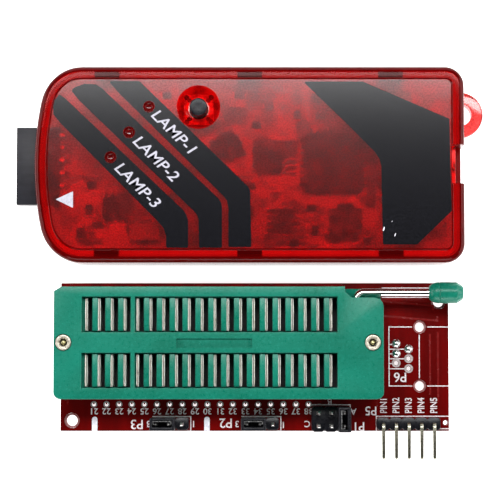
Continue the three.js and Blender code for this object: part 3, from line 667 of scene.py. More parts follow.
for p in top.data.polygons:
    c, n = p.center / MM, p.normal
    d = depth_in(c.x, c.y)
    r = math.hypot(c.x - BTN_X, c.y - BTN_Y)
    led = min(math.hypot(c.x - x, c.y - y) for x, y in LED_XY)
    if c.z > CASE_Z - 0.004 and n.z > 0.9:
        i = 0
    elif r < 5.1 and c.z < ROOF + 0.1 and r > 2.1:
        i = 4 if c.z < 11.4 else 1
    elif r < 4.5:
        i = 1
    # painted shade: the LED recess faces take the darker dimple copy
    elif led < 1.15 and c.z > CASE_Z - 1.2:
        i = 5
    elif c.z > CASE_Z - 0.02 and n.z > 0.9:
        i = 0
    elif c.z < ROOF + 0.05 and d > 1.3:
        i = 4
    elif n.z > 0.985 and c.z > BAND_Z - 0.02:
        i = 1
    elif c.z > CASE_Z - 0.45 and d > 1.9:
        i = 2
    # painted shade: sloped edge faces take the darker fillet copy, upright walls the side copy
    elif n.z > 0.12:
        i = 2
    else:
        i = 3
    p.material_index = i
shade(top.data, 20)
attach(top, "programmer"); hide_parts("top_shell")

# ------------------------------------------------------------------ bottom shell
rings = [ring(1.9, 0), ring(1.5, 0)]
for k in range(1, 9):
    a = math.radians(90 * k / 8)
    rings.append(ring(1.5 * (1 - math.sin(a)), 1.5 * (1 - math.cos(a))))
rings += [ring(0, SPLIT - 0.24), ring(0.18, SPLIT - 0.05), ring(1.6, SPLIT - 0.05)]
v, f = loft(rings)
bot = put("case_bottom", data("case_bottom", v, f), [SIDE_SHADED, FILLET_SHADED, INNER, LUG], None)
LX, LY = X1, 10.8
LR = BOT_HI[0] - LX
lug = lathe([(0, 2.6), (LR - 0.4, 2.6), (LR - 0.12, 2.7), (LR, 2.95), (LR, 5.05), (LR - 0.12, 5.3), (LR - 0.4, 5.4), (0, 5.4)], 64, at=(LX, LY, 0))
boolean(bot, lug, "UNION")
boolean(bot, prism(inset(1.6), 1.5, SPLIT + 1))
half = [(LX + 0.02, LY - 2.2)] + [(LX + 0.02 + 2.2 * math.cos(math.radians(a)), LY + 2.2 * math.sin(math.radians(a))) for a in range(-84, 90, 7)] + [(LX + 0.02, LY + 2.2)]
boolean(bot, prism(half, 2, 6))
tongue = joined(prism(inset(1.9), SPLIT - 1.2, SPLIT + 1.0))
tongue_o = put("tongue_tmp", data("tongue", *tongue), [SIDE_SHADED], None)
boolean(tongue_o, prism(inset(2.6), SPLIT - 2, SPLIT + 2))
boolean(tongue_o, boxes([(-46, -38.0, -7.95, 7.95, 6.0, 9), (38.5, 44, -4.3, 4.3, 6.0, 9)]))
bars = []
for hx in (-28.3, 0.0, 28.0):
    for k in (1, -1):
        ys = sorted((k * (HW - 1.66), k * (HW - 2.9)))
        bars.append((hx - 2.45, hx + 2.45, ys[0], ys[1], 3.0, 11.9))
bar_pts = boxes(bars)
boolean(bot, boxes([(-46, -38.6, -7.95, 7.95, 6.5, SPLIT + 2), (42.2, 44, -3.85, 3.85, 5.2, SPLIT + 2)]))
for p in bot.data.polygons:
    c, n = p.center / MM, p.normal
    d = depth_in(c.x, c.y)
    inside = c.x < X1 + 0.01
    if c.x > X1 + 0.02 or (c.x > 38.2 and abs(c.y - LY) < LR + 0.1 and 2.5 < c.z < 5.5 and not (-HW < c.y < HW and c.x < X1 - 0.01)):
        i = 3
    elif c.z > 1.4 and d > 1.3 and c.z < SPLIT - 0.1:
        i = 2
    # painted shade: the downward-facing rounded foot takes the darker fillet copy
    elif n.z < -0.12 and c.z < 1.49 and n.z > -0.98:
        i = 1
    else:
        i = 0
    p.material_index = i
shade(bot.data, 32)
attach(bot, "programmer"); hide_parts("bottom_shell")
lip = put("mouth_lip", data("mouth_lip", *boxes([(39.6, X1 - 1.65, -3.8, 3.8, 10.62, 11.1)])), NOTCH_LIT, None)
bevel(lip, 0.08, 2)
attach(lip, "programmer")
# the tongue and the snap hooks stand up inside the top shell
shade(tongue_o.data, 35)
tongue_o.name = "case_tongue"
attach(tongue_o, "programmer")
HOOK = film("case_hook", (0.2, 0.01, 0.01, 1), RED(0.012, 0.02), 0.92, 0.3, 400, 900, 0.1, 0.02, 1.2)
hooks = put("case_hooks", data("case_hooks", *bar_pts), HOOK, None)
bevel(hooks, 0.18, 2)
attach(hooks, "programmer")
tongue_o.data.materials.clear(); tongue_o.data.materials.append(INNER)

# ------------------------------------------------------------------ printed graphics on the top face
INK_Z = CASE_Z + 0.001
INK_T = 0.022
stripe_a = [(-37.63, 13.76), (-38.57, 12.62), (-38.86, 11.23), (-38.75, 9.73), (-37.49, 8.14), (-18.22, -11.3), (-16.94, -12.77), (-16.42, -14.44), (-16.42, -16.65), (-12.08, -16.65), (-12.1, -11.3), (-12.41, -10.2), (-13.03, -9.21), (-36.57, 13.06)]
stripe_b = [(-35.12, 14.31), (-35.02, 14.83), (-34.43, 15.21), (-32.65, 15.85), (-30.43, 15.75), (-29.18, 14.95), (-6.13, -6.89), (-5.56, -7.82), (-5.42, -8.81), (-5.41, -16.65), (-9.94, -16.65), (-10.05, -10.99), (-10.34, -10.2), (-11.0, -9.41), (-33.9, 12.74)]
stripe_c = [(-27.92, 16.39), (-21.77, 16.39), (-21.37, 16.01), (-0.24, -4.58), (0.1, -5.35), (0.16, -6.42), (0.36, -16.52), (-4.17, -16.52), (-4.18, -8.61), (-4.43, -7.43), (-5.03, -6.54), (-25.86, 14.02)]
panel_d = [(10.59, 16.31), (22.4, 16.31), (23.06, 16.01), (39.5, 8.88), (39.89, -9.37), (33.0, -16.02), (26.26, -16.02), (26.01, -0.52), (25.68, 0.81), (24.8, 2.26), (19.09, 8.04)]


def printed(name, pts, holes=()):
    pts = [(x, max(-16.72, min(16.72, y))) for x, y in pts]
    return flat(name, [soften(pts, 0.35)] + list(holes), INK_Z, INK_T, INK, "programmer")


printed("print_stripe_1", stripe_a, [disc(*LED_XY[2], 1.16, 32)])
printed("print_stripe_2", stripe_b, [disc(*LED_XY[1], 1.16, 32)])
printed("print_stripe_3", stripe_c, [disc(*LED_XY[0], 1.16, 32)])
printed("print_panel", panel_d)
flat("print_arrow", [soften([(-38.25, -7.1), (-34.8, -5.5), (-34.8, -8.8)], 0.12)], INK_Z, INK_T, WHITE, "programmer")
NICK = solid("ink_nick", [(0.3, (0.5, 0.49, 0.55, 1)), (0.6, (0.8, 0.79, 0.84, 1))], 3000, (0.4, 0.5), 0, 5000, 0.2, 0.01)
for k, (x, y, a, b) in enumerate(((26.45, -12.95, 0.16, 0.42), (28.7, -14.1, 0.1, 0.34), (28.1, -11.45, 0.07, 0.1))):
    flat(f"ink_nick_{k + 1}", [[(x + a * math.cos(q * math.pi / 6) + 0.12 * math.sin(q * math.pi / 6), y + b * math.sin(q * math.pi / 6)) for q in range(12)]], INK_Z + INK_T, 0.01, NICK, "programmer")
LABEL = [("LAMP-1", -15.0, 6.2), ("LAMP-2", -18.6, 1.0), ("LAMP-3", -22.2, -4.3)]
for k, (s, x, y) in enumerate(LABEL):
    text(f"label_lamp_{k + 1}", s, x, y, INK_Z + INK_T, 3.1, -45, WHITE, "programmer", "led_lens", shear=0.2, bold=0.03, thick=0.02, space=1.03, wide=1.1)

# ------------------------------------------------------------------ inside the case
dress("main_board", MAIN)
for n_ in ("microcontroller", "memory_chip", "supervisor_chip", "driver_chip", "voltage_regulator"):
    dress(n_, CHIP)
dress("boost_inductor", FERRITE)
dress("tantalum_capacitor", AMBER)
dress("quartz_crystal", TIN)
for n_ in ("led_1", "led_2", "led_3"):
    dress(n_, LENS)
dress("usb_tongue", BLACK)
dress("switch_body", BLACK)
dress("switch_plate", PLATE)
dress("switch_dome", TIN)
for k in range(1, 7):
    dress(f"icsp_contact_{k}", TIN)
from_cad("icsp_header", "target_header", HEADER, "programmer", 0.14, 2)
from_cad("usb_shell", "usb_socket_shell", TIN, "programmer", 0.08, 2)
pl_lo, pl_hi = mmbox("switch_plunger")
prof = [(0, pl_lo[2]), (1.7, pl_lo[2]), (1.85, pl_lo[2] + 0.35), (1.85, pl_lo[2] + 0.85), (1.75, pl_lo[2] + 0.9), (1.75, pl_hi[2] - 0.3), (1.7, pl_hi[2] - 0.12), (1.58, pl_hi[2] - 0.03), (1.4, pl_hi[2]), (0.6, pl_hi[2] - 0.03), (0, pl_hi[2] - 0.04)]
plunger = put("button_plunger", data("button_plunger", *lathe(prof, 56, at=(BTN_X, BTN_Y, 0))), BLACK, "button", 40)
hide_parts("switch_plunger")

sb_lo, sb_hi = mmbox("switch_plate")
posts = joined(*[lathe([(0, sb_hi[2] - 0.1), (0.52, sb_hi[2] - 0.1), (0.52, sb_hi[2] + 0.22), (0.4, sb_hi[2] + 0.34), (0, sb_hi[2] + 0.36)], 20, at=(BTN_X + a * 2.45, BTN_Y + b * 2.45, 0)) for a in (-1, 1) for b in (-1, 1)])
put("switch_posts", data("switch_posts", *posts), DARK_PLASTIC_AND_SHADE, "programmer", 50)
MB_TOP = mmbox("main_board")[1][2]
# header solder joints on the main board, seen through the case as a row of bright dots
parts = []
for k in range(6):
    y = mid(f"icsp_contact_{k + 1}", 1)
    parts.append(lathe([(0, MB_TOP + 0.02), (0.62, MB_TOP + 0.02), (0.5, MB_TOP + 0.3), (0.2, MB_TOP + 0.75), (0, MB_TOP + 0.8)], 16, at=(-36.4, y, 0)))
put("header_solder", data("header_solder", *joined(*parts)), SOLDER, "programmer", 50)
# small chip parts
small = []
for (x, y, w, d, h) in [(-30.6, 14.0, 2.0, 1.25, 0.6), (-34.2, 9.6, 1.25, 2.0, 0.6), (-31.6, -3.6, 2.0, 1.3, 0.7), (-32.2, -8.6, 1.3, 2.0, 0.7), (-30.5, -11.6, 2.0, 1.25, 0.6), (-33.9, -13.3, 1.6, 2.2, 0.8),
                        (-22.0, -4.4, 1.3, 2.0, 0.6), (-16.0, -6.2, 2.0, 1.25, 0.6), (1.4, 8.6, 2.0, 1.3, 0.7), (3.9, 12.4, 2.0, 1.3, 0.7), (-2.0, 14.6, 2.2, 1.3, 0.7), (9.6, 10.6, 1.3, 2.0, 0.6), (14.2, 10.4, 2.0, 1.25, 0.6),
                        (13.2, 13.9, 1.25, 2.0, 0.6), (0.2, -3.8, 2.0, 1.3, 0.6), (0.1, -8.8, 1.3, 2.0, 0.7), (12.4, -8.2, 2.0, 1.25, 0.6), (13.1, -12.8, 1.3, 2.0, 0.6), (26.6, -3.4, 1.3, 2.0, 0.7), (29.2, 3.6, 2.0, 1.3, 0.7), (30.4, -9.0, 2.0, 1.3, 0.6),
                        (34.6, -12.6, 2.0, 1.3, 0.7), (-16.6, 14.6, 2.0, 1.25, 0.6), (8.9, -15.2, 2.0, 1.25, 0.6), (23.6, -15.0, 1.3, 1.6, 0.6)]:
    small.append((x - w / 2, x + w / 2, y - d / 2, y + d / 2, MB_TOP + 0.02, MB_TOP + 0.02 + h))
ceramics = put("ceramic_parts", data("ceramic_parts", *boxes(small)), CHIP, None)
bevel(ceramics, 0.1, 2)
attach(ceramics, "programmer")
ends = []
for x0, x1, y0, y1, z0, z1 in small:
    if x1 - x0 > y1 - y0:
        ends += [(x0 - 0.28, x0 + 0.02, y0 + 0.03, y1 - 0.03, z0 - 0.01, z1 - 0.06), (x1 - 0.02, x1 + 0.28, y0 + 0.03, y1 - 0.03, z0 - 0.01, z1 - 0.06)]
    else:
        ends += [(x0 + 0.03, x1 - 0.03, y0 - 0.28, y0 + 0.02, z0 - 0.01, z1 - 0.06), (x0 + 0.03, x1 - 0.03, y1 - 0.02, y1 + 0.28, z0 - 0.01, z1 - 0.06)]
end_o = put("ceramic_ends", data("ceramic_ends", *boxes(ends)), SOLDER, None)
bevel(end_o, 0.05, 1)
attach(end_o, "programmer")
# tracks on the main board
tr = []
for k in range(6):
    y = mid(f"icsp_contact_{k + 1}", 1)
    tr.append(ribbon([(-36.2, y), (-34.2, y), (-31.5, y * 0.6 - 1.0), (-22.0 + k, y * 0.6 - 1.0)], 0.32))
for k in range(5):
    tr.append(ribbon([(9.9, -3.4 + 1.27 * k), (7.6, -3.4 + 1.27 * k), (6.4 - 0.1 * k, -4.8 + 1.1 * k), (-6.0, -4.8 + 1.1 * k)], 0.3))
# dark patches on the main board between its parts
AREA = solid("board_dark_area", [(0.35, (0.03, 0.006, 0.006, 1)), (0.62, (0.2, 0.02, 0.018, 1))], 700, (0.45, 0.6), 0, 2600, 0.1, 0.02)
DARK = [(0.6, 9.6, -1.6, 5.6), (-8.2, -1.4, 2.2, 5.4), (-6.5, 0.4, -6.6, -1.2), (23.4, 25.6, -8.0, 8.5), (-31.4, -27.4, -0.4, 2.6), (-26.6, -24.2, -9.4, -4.4), (-33.8, -29.4, -15.8, -14.4), (-24.6, -19.8, -13.9, -10.6), (3.0, 11.4, -15.9, -13.6), (9.4, 12.6, 7.6, 9.4), (-5.2, -0.4, 8.4, 12.2), (15.0, 21.4, -15.2, -13.4), (27.4, 32.6, 11.6, 15.6)]
for i, (x0, x1, y0, y1) in enumerate(DARK):
    pts, n = [], 5
    for a, b in (((x0, y0), (x1, y0)), ((x1, y0), (x1, y1)), ((x1, y1), (x0, y1)), ((x0, y1), (x0, y0))):
        for k in range(n):
            pts.append((a[0] + (b[0] - a[0]) * k / n + rng.uniform(-0.28, 0.28), a[1] + (b[1] - a[1]) * k / n + rng.uniform(-0.28, 0.28)))
    flat(f"main_area_{i + 1}", [soften(pts, 0.3)], MB_TOP + 0.002, 0.012, AREA, "programmer")
TRK2 = solid("main_track", [(0.3, (0.8, 0.2, 0.16, 1)), (0.7, (0.9, 0.3, 0.24, 1))], 400, (0.3, 0.4), 0, 2600, 0.06, 0.01)
for i, pts in enumerate(tr):
    flat(f"main_track_{i + 1}", [pts], MB_TOP, 0.03, TRK2, "programmer")

# ------------------------------------------------------------------ socket board: lacquer, tracks, pads, print
dress("socket_board", BOARD)
PAD = solid("pad_tin", [(0.3, (0.28, 0.22, 0.22, 1)), (0.7, (0.5, 0.44, 0.44, 1))], 1800, (0.3, 0.45), 0.6, 3600, 0.4, 0.03)
U = lambda x, y: (x + BX, y + BY)  # board coordinates to the row frame
PADS = [U(-32.35 + k * PITCH, -9.55) for k in range(18)]
J6P = [U(28.5, 2.69), U(28.5, 0.67), U(28.5, -1.24), U(31.0, 1.58), U(31.0, -0.35), U(31.0, -2.35)]
ROW_Y = [mid("contact_row_rear", 1), mid("contact_row_front", 1)]
rear_lo, rear_hi = mmbox("contact_row_rear")
front_lo, front_hi = mmbox("contact_row_front")
X0C = rear_lo[0] + 0.6 + 0.2  # middle of the first contact
TAIL_Y = [rear_hi[1] - 0.7 if rear_hi[1] > rear_lo[1] else 0, front_lo[1] + 0.7]


def annulus(name, centres, r0, r1, z, thick, mat, body):
    parts = []
    for x, y in centres:
        pr = [(r0, z), (r1, z), (r1, z + thick), (r0, z + thick)]
        v, f = [], []
        n = 20
        for k in range(n):
            a = 2 * math.pi * k / n
            for r, h in pr:
                v.append((x + r * math.cos(a), y + r * math.sin(a), h))
        for k in range(n):
            for j in range(4):
                a, b = k * 4 + j, k * 4 + (j + 1) % 4
                c, d = ((k + 1) % n) * 4 + (j + 1) % 4, ((k + 1) % n) * 4 + j
                f.append((a, b, c, d))
        parts.append((v, f))
    return put(name, data(name, *joined(*parts)), mat, body, 40)


annulus("via_pads", PADS, 0.38, 0.66, BTOP, 0.05, PAD, "board")
annulus("aux_pads", J6P, 0.46, 0.88, BTOP, 0.05, PAD, "board")
# plated collars inside the drilled holes, drawn wide and pinkish grey as painted shade and red bounce from the shadowed
# floor under the board
HOLE_SHADE = solid("hole_shade_collar", [(0.35, (0.16, 0.04, 0.04, 1)), (0.62, (0.4, 0.19, 0.19, 1))], 1400, (0.4, 0.5), 0, 2600, 0.3, 0.03, spec=0.2)
for i, (x, y, r) in enumerate(((-36.73, -12.77, 1.55), (33.25, 6.02, 1.3), (33.22, -5.85, 1.3), (37.05, 11.12, 1.5), (38.35, -13.2, 0.62))):
    annulus(f"hole_shade_collar_{i + 1}", [U(x, y)], r * 0.72, r * 0.985, BBOT + 0.12, BTOP - BBOT - 0.42, HOLE_SHADE, "board")
# solder left in two of the auxiliary holes
blob = joined(*[lathe([(0, BTOP - 0.4), (0.42, BTOP - 0.4), (0.44, BTOP + 0.06), (0.86, BTOP + 0.07), (0.8, BTOP + 0.25), (0.5, BTOP + 0.5), (0.2, BTOP + 0.6), (0, BTOP + 0.62)], 20, at=(x, y, 0), waves=(lambda i, a: 1 + 0.10 * math.sin(5 * a + 1) if i > 2 else 1)) for x, y in (J6P[0], J6P[1], J6P[3])])
put("aux_solder", data("aux_solder", *blob), SOLDER, "board", 60)

for k in range(18):
    x, y = PADS[k]
    text(f"num_{k + 1}", str(21 + k), x, U(0, -10.87)[1], BTOP, 1.75, 180, SILK, "board", "led_lens", bold=0.02, space=1.02)
white_bars = []
for x in (-32.17, -9.6):
    cx, y0, y1, w = U(x, 0)[0], U(0, -15.0)[1], U(0, -12.0)[1], 0.55
    pts = [(cx - w, y0), (cx + w, y0), (cx + w, y1 - w)] + [(cx + w * math.cos(math.radians(a)), y1 - w + w * math.sin(math.radians(a))) for a in range(15, 180, 15)] + [(cx - w, y1 - w)]
    white_bars.append(pts)
BAR = solid("white_pad", [(0.35, (0.55, 0.53, 0.6, 1)), (0.6, (0.82, 0.8, 0.86, 1))], 1500, (0.35, 0.5), 0, 3000, 0.2, 0.02)
flat("white_pads", white_bars, BTOP, 0.05, BAR, "board")


def silk_text(name, s, x, y, size=2.1, rot=180, **kw):
    X, Y = U(x, y)
    return text(name, s, X, Y, BTOP, size, rot, SILK, "board", "led_lens", bold=kw.pop("bold", 0.02), **kw)


silk_text("ref_p3", "P3", -23.7, -13.45, 2.7)
silk_text("ref_p2", "P2", -5.8, -13.2, 2.7)
silk_text("ref_p1", "P1", 20.9, -13.9, 2.5)
silk_text("ref_p5", "P5", 23.35, -10.75, 2.5)
silk_text("ref_p6", "P6", 29.3, -4.0, 2.7)
silk_text("p3_end_a", "3", -21.35, -13.4, 1.8)
silk_text("p3_end_b", "1", -12.3, -13.4, 1.8)
silk_text("p2_end_a", "3", -3.55, -13.4, 1.8)
silk_text("p2_end_b", "1", 5.75, -13.6, 1.8)
silk_text("p1_b", "B", 15.1, -8.95, 1.7)
silk_text("p1_a", "A", 19.85, -10.9, 1.8)
silk_text("p1_c", "C", 10.55, -13.4, 1.8)
for k, s in enumerate(("PIN1", "PIN2", "PIN3", "PIN4", "PIN5")):
    silk_text(f"signal_{k + 1}", s, (25.98, 28.46, 30.98, 33.5, 36.06)[k], -9.75, 1.95, 90, bold=0.025, wide=0.8)
LW = 0.2
lines = [
    ribbon([U(39.05, 6.02), U(34.75, 6.02)], LW), ribbon([U(31.7, 6.02), U(27.05, 6.02), U(27.05, -5.85), U(31.7, -5.85)], LW), ribbon([U(34.7, -5.85), U(39.05, -5.85)], LW),
    ribbon([U(33.15, 4.45), U(33.15, -4.3)], LW),
    ribbon([U(27.17, 2.51), U(27.8, 2.51)], LW), ribbon([U(27.17, 1.55), U(30.1, 1.55)], LW), ribbon([U(27.17, 0.6), U(27.7, 0.6)], LW),
    ribbon([U(27.17, -0.39), U(30.1, -0.39)], LW), ribbon([U(27.17, -1.35), U(27.7, -1.35)], LW), ribbon([U(27.17, -2.4), U(30.1, -2.4)], LW),
    ribbon([U(25.65, 13.9), U(35.4, 13.9)], 0.14), ribbon([U(25.65, 12.0), U(35.6, 12.0)], 0.14),
    ribbon([U(39.05, -11.92), U(24.45, -11.92), U(24.45, -14.85)], LW), ribbon([U(37.2, -14.42), U(39.05, -14.42)], LW),
    ribbon([U(-20.6, -11.98), U(-12.85, -11.98), U(-12.85, -14.85), U(-13.6, -14.85)], LW),
    ribbon([U(-2.7, -11.98), U(5.25, -11.98), U(5.25, -14.85), U(4.4, -14.85)], LW),
    ribbon([U(11.1, -9.62), U(19.2, -9.62), U(19.2, -14.85)], LW),
]
put("board_outlines", data("board_outlines", *joined(*[prism(l, BTOP + 0.001, BTOP + 0.03) for l in lines])), SILK, "board")

# solder joints under the board
under = []
tails = []
for i in range(20):
    x = X0C + i * PITCH
    for y in TAIL_Y:
        tails.append((x, y, 0.3))
for nm, cols, rows_ in (("j1_header", 3, 2), ("j2_header", 3, 1), ("j3_header", 3, 1), ("j5_header", 5, 1)):
    lo, hi = mmbox(nm)
    for c in range(cols):
        for r_ in range(rows_):
            tails.append((lo[0] + PITCH / 2 + c * PITCH, hi[1] - 1.25 - r_ * PITCH, 0.4))
for x, y, q in tails:
    under.append(lathe([(0, BBOT), (0.85, BBOT), (0.82, BBOT - 0.06), (0.62, BBOT - 0.32), (0.44, BBOT - 0.75), (q, BBOT - 1.05), (0, BBOT - 1.1)], 14, at=(x, y, 0)))
put("solder_joints", data("solder_joints", *joined(*under)), SOLDER, "board", 50)
# tracks, top and bottom
trk = []
for k in range(18):
    x, y = PADS[k]
    trk.append(ribbon([(x, y), (x, y + 1.4), (x - 0.9, y + 2.4)], 0.34))
for k, (a, b) in enumerate([((22.5, 11.4), (36.0, 9.4)), ((25.6, 8.2), (36.8, 8.2)), ((36.9, 5.0), (36.9, -9.0)), ((35.3, 4.6), (35.3, -7.6)), ((22.2, -7.7), (24.6, -7.7)), ((-37.6, 8.0), (-37.6, -9.6)), ((24.6, -9.0), (24.6, -10.0))]):
    (x0, y0), (x1, y1) = U(*a), U(*b)
    s = 0.9 if y1 < y0 else -0.9
    trk.append(ribbon([(x0, y0), (x0 + (0.9 if x1 > x0 else 0), y0), (x1, y1 + (s if x1 > x0 else 0)), (x1, y1)] if x1 > x0 else [(x0, y0), (x1, y1)], 0.4))
for i, pts in enumerate(trk):
    flat(f"track_{i + 1}", [pts], BTOP, 0.025, TRACK, "board")
low = []
for i in range(0, 20):
    x = X0C + i * PITCH
    low.append(ribbon([(x, TAIL_Y[1]), (x, TAIL_Y[1] - 1.6), (x + (0.8 if i % 2 else -0.8), TAIL_Y[1] - 2.6)], 0.34))
    low.append(ribbon([(x, TAIL_Y[0]), (x, TAIL_Y[0] - 3.2 - 0.5 * (i % 5)), (x + 1.4, TAIL_Y[0] - 4.6 - 0.5 * (i % 5)), (x + 1.4, TAIL_Y[1] + 2.0 + (i % 3))], 0.34))
for i, pts in enumerate(low):
    flat(f"under_track_{i + 1}", [pts], BBOT - 0.025, 0.025, TRACK, "board")

# ------------------------------------------------------------------ chip socket
from_cad("zif_base", "socket_base", GREEN, "board", 0)
ZLO, ZHI = mmbox("zif_cover")
QX, QY = ZLO[0] + 39.65, ZLO[1] + 8.4  # the socket's own zero
RIV = [(mid("zif_rivet_left", 0), mid("zif_rivet_left", 1)), (mid("zif_rivet_right", 0), mid("zif_rivet_right", 1))]
ROWS = [(4.77, 11.82), (-6.23, 0.72)]
WINDOWS = [(-34.15, -24.5), (-23.65, 16.3)]
SHAFT = 20.25


def arc(cx, cy, r, a0, a1, n=8):
    return [(cx + r * math.cos(math.radians(a0 + (a1 - a0) * k / n)), cy + r * math.sin(math.radians(a0 + (a1 - a0) * k / n))) for k in range(n + 1)]


def rect(x0, x1, y0, y1):
    return [(x0, y0), (x1, y0), (x1, y1), (x0, y1)]


def moved(pts):
    return [(x + QX, y + QY) for x, y in pts]


zo = arc(-38.25, -7.0, 1.4, 180, 270) + arc(24.0, -7.0, 1.4, 270, 360) + arc(23.5, 9.75, 1.9, 0, 90) + [(19.1, 11.65), (17.8, 12.75), (17.8, 13.8), (-38.15, 13.8), (-39.65, 12.9)]
zo = moved(zo)
wins = [moved(rect(a, b, y0, y1)) for a, b in WINDOWS for y0, y1 in ROWS]
cover = flat("socket_cover", [zo] + wins + [disc(x, y, 0.9, 24) for x, y in RIV], 11.15, ZHI[2] - 11.15, GREEN, None, 0.14)
boolean(cover, boxes([(QX - 15.45, QX - 0.55, QY + 1.72, QY + 3.52, 12.25, 13)]))
for x, y in RIV:
    boolean(cover, lathe([(0, 12.1), (1.7, 12.1), (1.7, 13.2), (0, 13.2)], 48, at=(x, y, 0)))
shade(cover.data, 40)
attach(cover, "board"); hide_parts("zif_cover")
skirt = flat("socket_skirt", [zo, moved([(-36.7, -7.3), (17.6, -7.3), (17.6, -0.4), (SHAFT + 2.2, -0.4), (SHAFT + 2.2, 6.0), (17.6, 6.0), (17.6, 12.7), (-36.7, 12.7)])] + [disc(x, y, 0.9, 24) for x, y in RIV], 9.35, 1.8, GREEN, None)
bore = lathe([(0, -7.4), (0.95, -7.4), (0.95, 11.0), (1.3, 11.01), (1.3, 15), (0, 15)], 24, axis="x")
boolean(skirt, ([(QX + SHAFT + y_, QY + x_, 9.3 + z_) for x_, y_, z_ in bore[0]], bore[1]))
shade(skirt.data, 40)
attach(skirt, "board")
CX = [-33.45 + i * PITCH for i in range(20)]
slots = [moved(rect(x - 0.2, x + 1.5, y0 + 0.15, y1 - 0.15)) for x in CX for y0, y1 in ROWS]
plate = flat("socket_slider", [moved([(-35.5, -7.1), (17.2, -7.1), (17.2, 0.2), (22.1, 0.2), (22.1, 5.3), (17.2, 5.3), (17.2, 12.5), (-35.5, 12.5)])] + slots + [moved(rect(SHAFT - 1.1, SHAFT + 1.1, 0.7, 4.8))], 9.46, 1.5, GREEN, "slider")
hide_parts("zif_slider")
ribs = put("slider_ribs", data("slider_ribs", *boxes([(QX + x - 1.16, QX + x - 0.07, QY + y0 + 0.25, QY + y1 - 0.25, 10.7, 12.3) for i, x in enumerate(CX) for y0, y1 in ROWS if i not in (0, 4)])), GREEN, None)
bevel(ribs, 0.14, 2)
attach(ribs, "slider")


def blades(name, node_name, tail_y):
    lo, hi = mmbox(node_name)
    # blade span in Y leaves out the tail strip that stands beyond it
    if abs(tail_y - (hi[1] - 0.7)) < 0.05:
        b0, b1 = lo[1], lo[1] + 6.35
    else:
        b0, b1 = hi[1] - 6.25, hi[1]
    parts = []
    for i in range(20):
        x = X0C + i * PITCH
        jig = rng.uniform(-0.03, 0.03)
        zt = hi[2] + rng.uniform(-0.06, 0.0)
        # two leaves with turned-out lips, a narrow gap between
        for s in (-1, 1):
            prof = [(0.05, 5.5), (0.13, 5.5), (0.13, zt - 0.9), (0.16, zt - 0.35), (0.245, zt - 0.05), (0.235, zt), (0.16, zt - 0.02), (0.07, zt - 0.4), (0.05, zt - 0.9)]
            n = 9
            cols = []
            for j in range(n):
                yy = b0 + (b1 - b0) * j / (n - 1)
                w = 1.0 if 0 < j < n - 1 else 0.75
                cols.append([(x + jig + s * px * w, yy, pz if pz < zt - 1 else pz + 0.02 * math.sin(3.1 * j + i)) for px, pz in prof])
            m = len(prof)
            v = [p for c in cols for p in c]
            f = []
            for j in range(n - 1):
                for q in range(m):
                    a, b = j * m + q, j * m + (q + 1) % m
                    f.append((a, b, b + m, a + m))
            f.append(tuple(range(m))[::-1]); f.append(tuple(range((n - 1) * m, n * m)))
            parts.append((v, f))
        parts.append(boxes([(x - 0.2, x + 0.2, tail_y - 0.3, tail_y + 0.3, lo[2], 5.6), (x - 0.2, x + 0.2, min(b0, tail_y - 0.3), max(b1, tail_y + 0.3), 5.45, 5.62)]))
    o = put(name, data(name, *joined(*parts)), CONTACT, "board", 40)
    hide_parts(node_name)
    return o


blades("contacts_rear", "contact_row_rear", TAIL_Y[0])
blades("contacts_front", "contact_row_front", TAIL_Y[1])
# painted shade: a dark sheet on the floor of the contact troughs
zb = mmbox("zif_base")[1][2]
zc_lo, zc_hi = mmbox("zif_cover")
for nm, nd in (("trough_rear", "contact_row_rear"), ("trough_front", "contact_row_front")):
    lo, hi = mmbox(nd)
    y0, y1 = (lo[1] - 0.2, lo[1] + 6.5) if nd.endswith("rear") else (hi[1] - 6.5, hi[1] + 0.2)
    o = put(nm, data(nm, *boxes([(X0C - 0.75, X0C + 19 * PITCH + 1.6, y0, y1, 5.62, 5.8)])), DARK_PLASTIC_AND_SHADE, None)
    bevel(o, 0.05, 1)
    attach(o, "board")

# eyelet rivets with a split, star-shaped bore
for nm, cad in (("rivet_left", "zif_rivet_left"), ("rivet_right", "zif_rivet_right")):
    lo, hi = mmbox(cad)
    cx, cy, zt = (lo[0] + hi[0]) / 2, (lo[1] + hi[1]) / 2, hi[2]
    pr = [(0, lo[2]), (0.8, lo[2]), (0.8, 12.2), (1.3, 12.2), (1.5, 12.32), (1.55, zt - 0.12), (1.46, zt - 0.02), (1.3, zt), (1.0, zt - 0.04), (0.86, zt - 0.3), (0.7, zt - 1.3), (0.6, zt - 2.0), (0, zt - 2.0)]
    o = put(nm, data(nm, *lathe(pr, 60, at=(cx, cy, 0), waves=lambda i, a: (1 + 0.16 * math.cos(6 * a + 0.4)) if i in (8, 9) else 1.0)), RIVET, "board", 45)
    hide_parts(cad)
    c = put(nm + "_core", data(nm + "_core", *lathe([(0, zt - 1.9), (0.42, zt - 1.9), (0.46, zt - 0.75), (0.3, zt - 0.55), (0, zt - 0.5)], 24, at=(cx, cy, 0))), BRASS, "board", 50)
    # painted shade: a dark disc deep in each rivet's bore
    d = put(nm + "_shade", data(nm + "_shade", *lathe([(0, zt - 2.05), (0.7, zt - 2.05), (0.7, zt - 1.6), (0, zt - 1.6)], 24, at=(cx, cy, 0))), DARK_PLASTIC_AND_SHADE, "board", 50)

# lever rod: smooth swept wire with its bend and cam
SZ = 9.3
lv_lo, lv_hi = mmbox("zif_lever")
ROD_Y = mid("zif_lever_knob", 1)
ROD_R = 0.8
SX = lv_lo[0] + 0.85


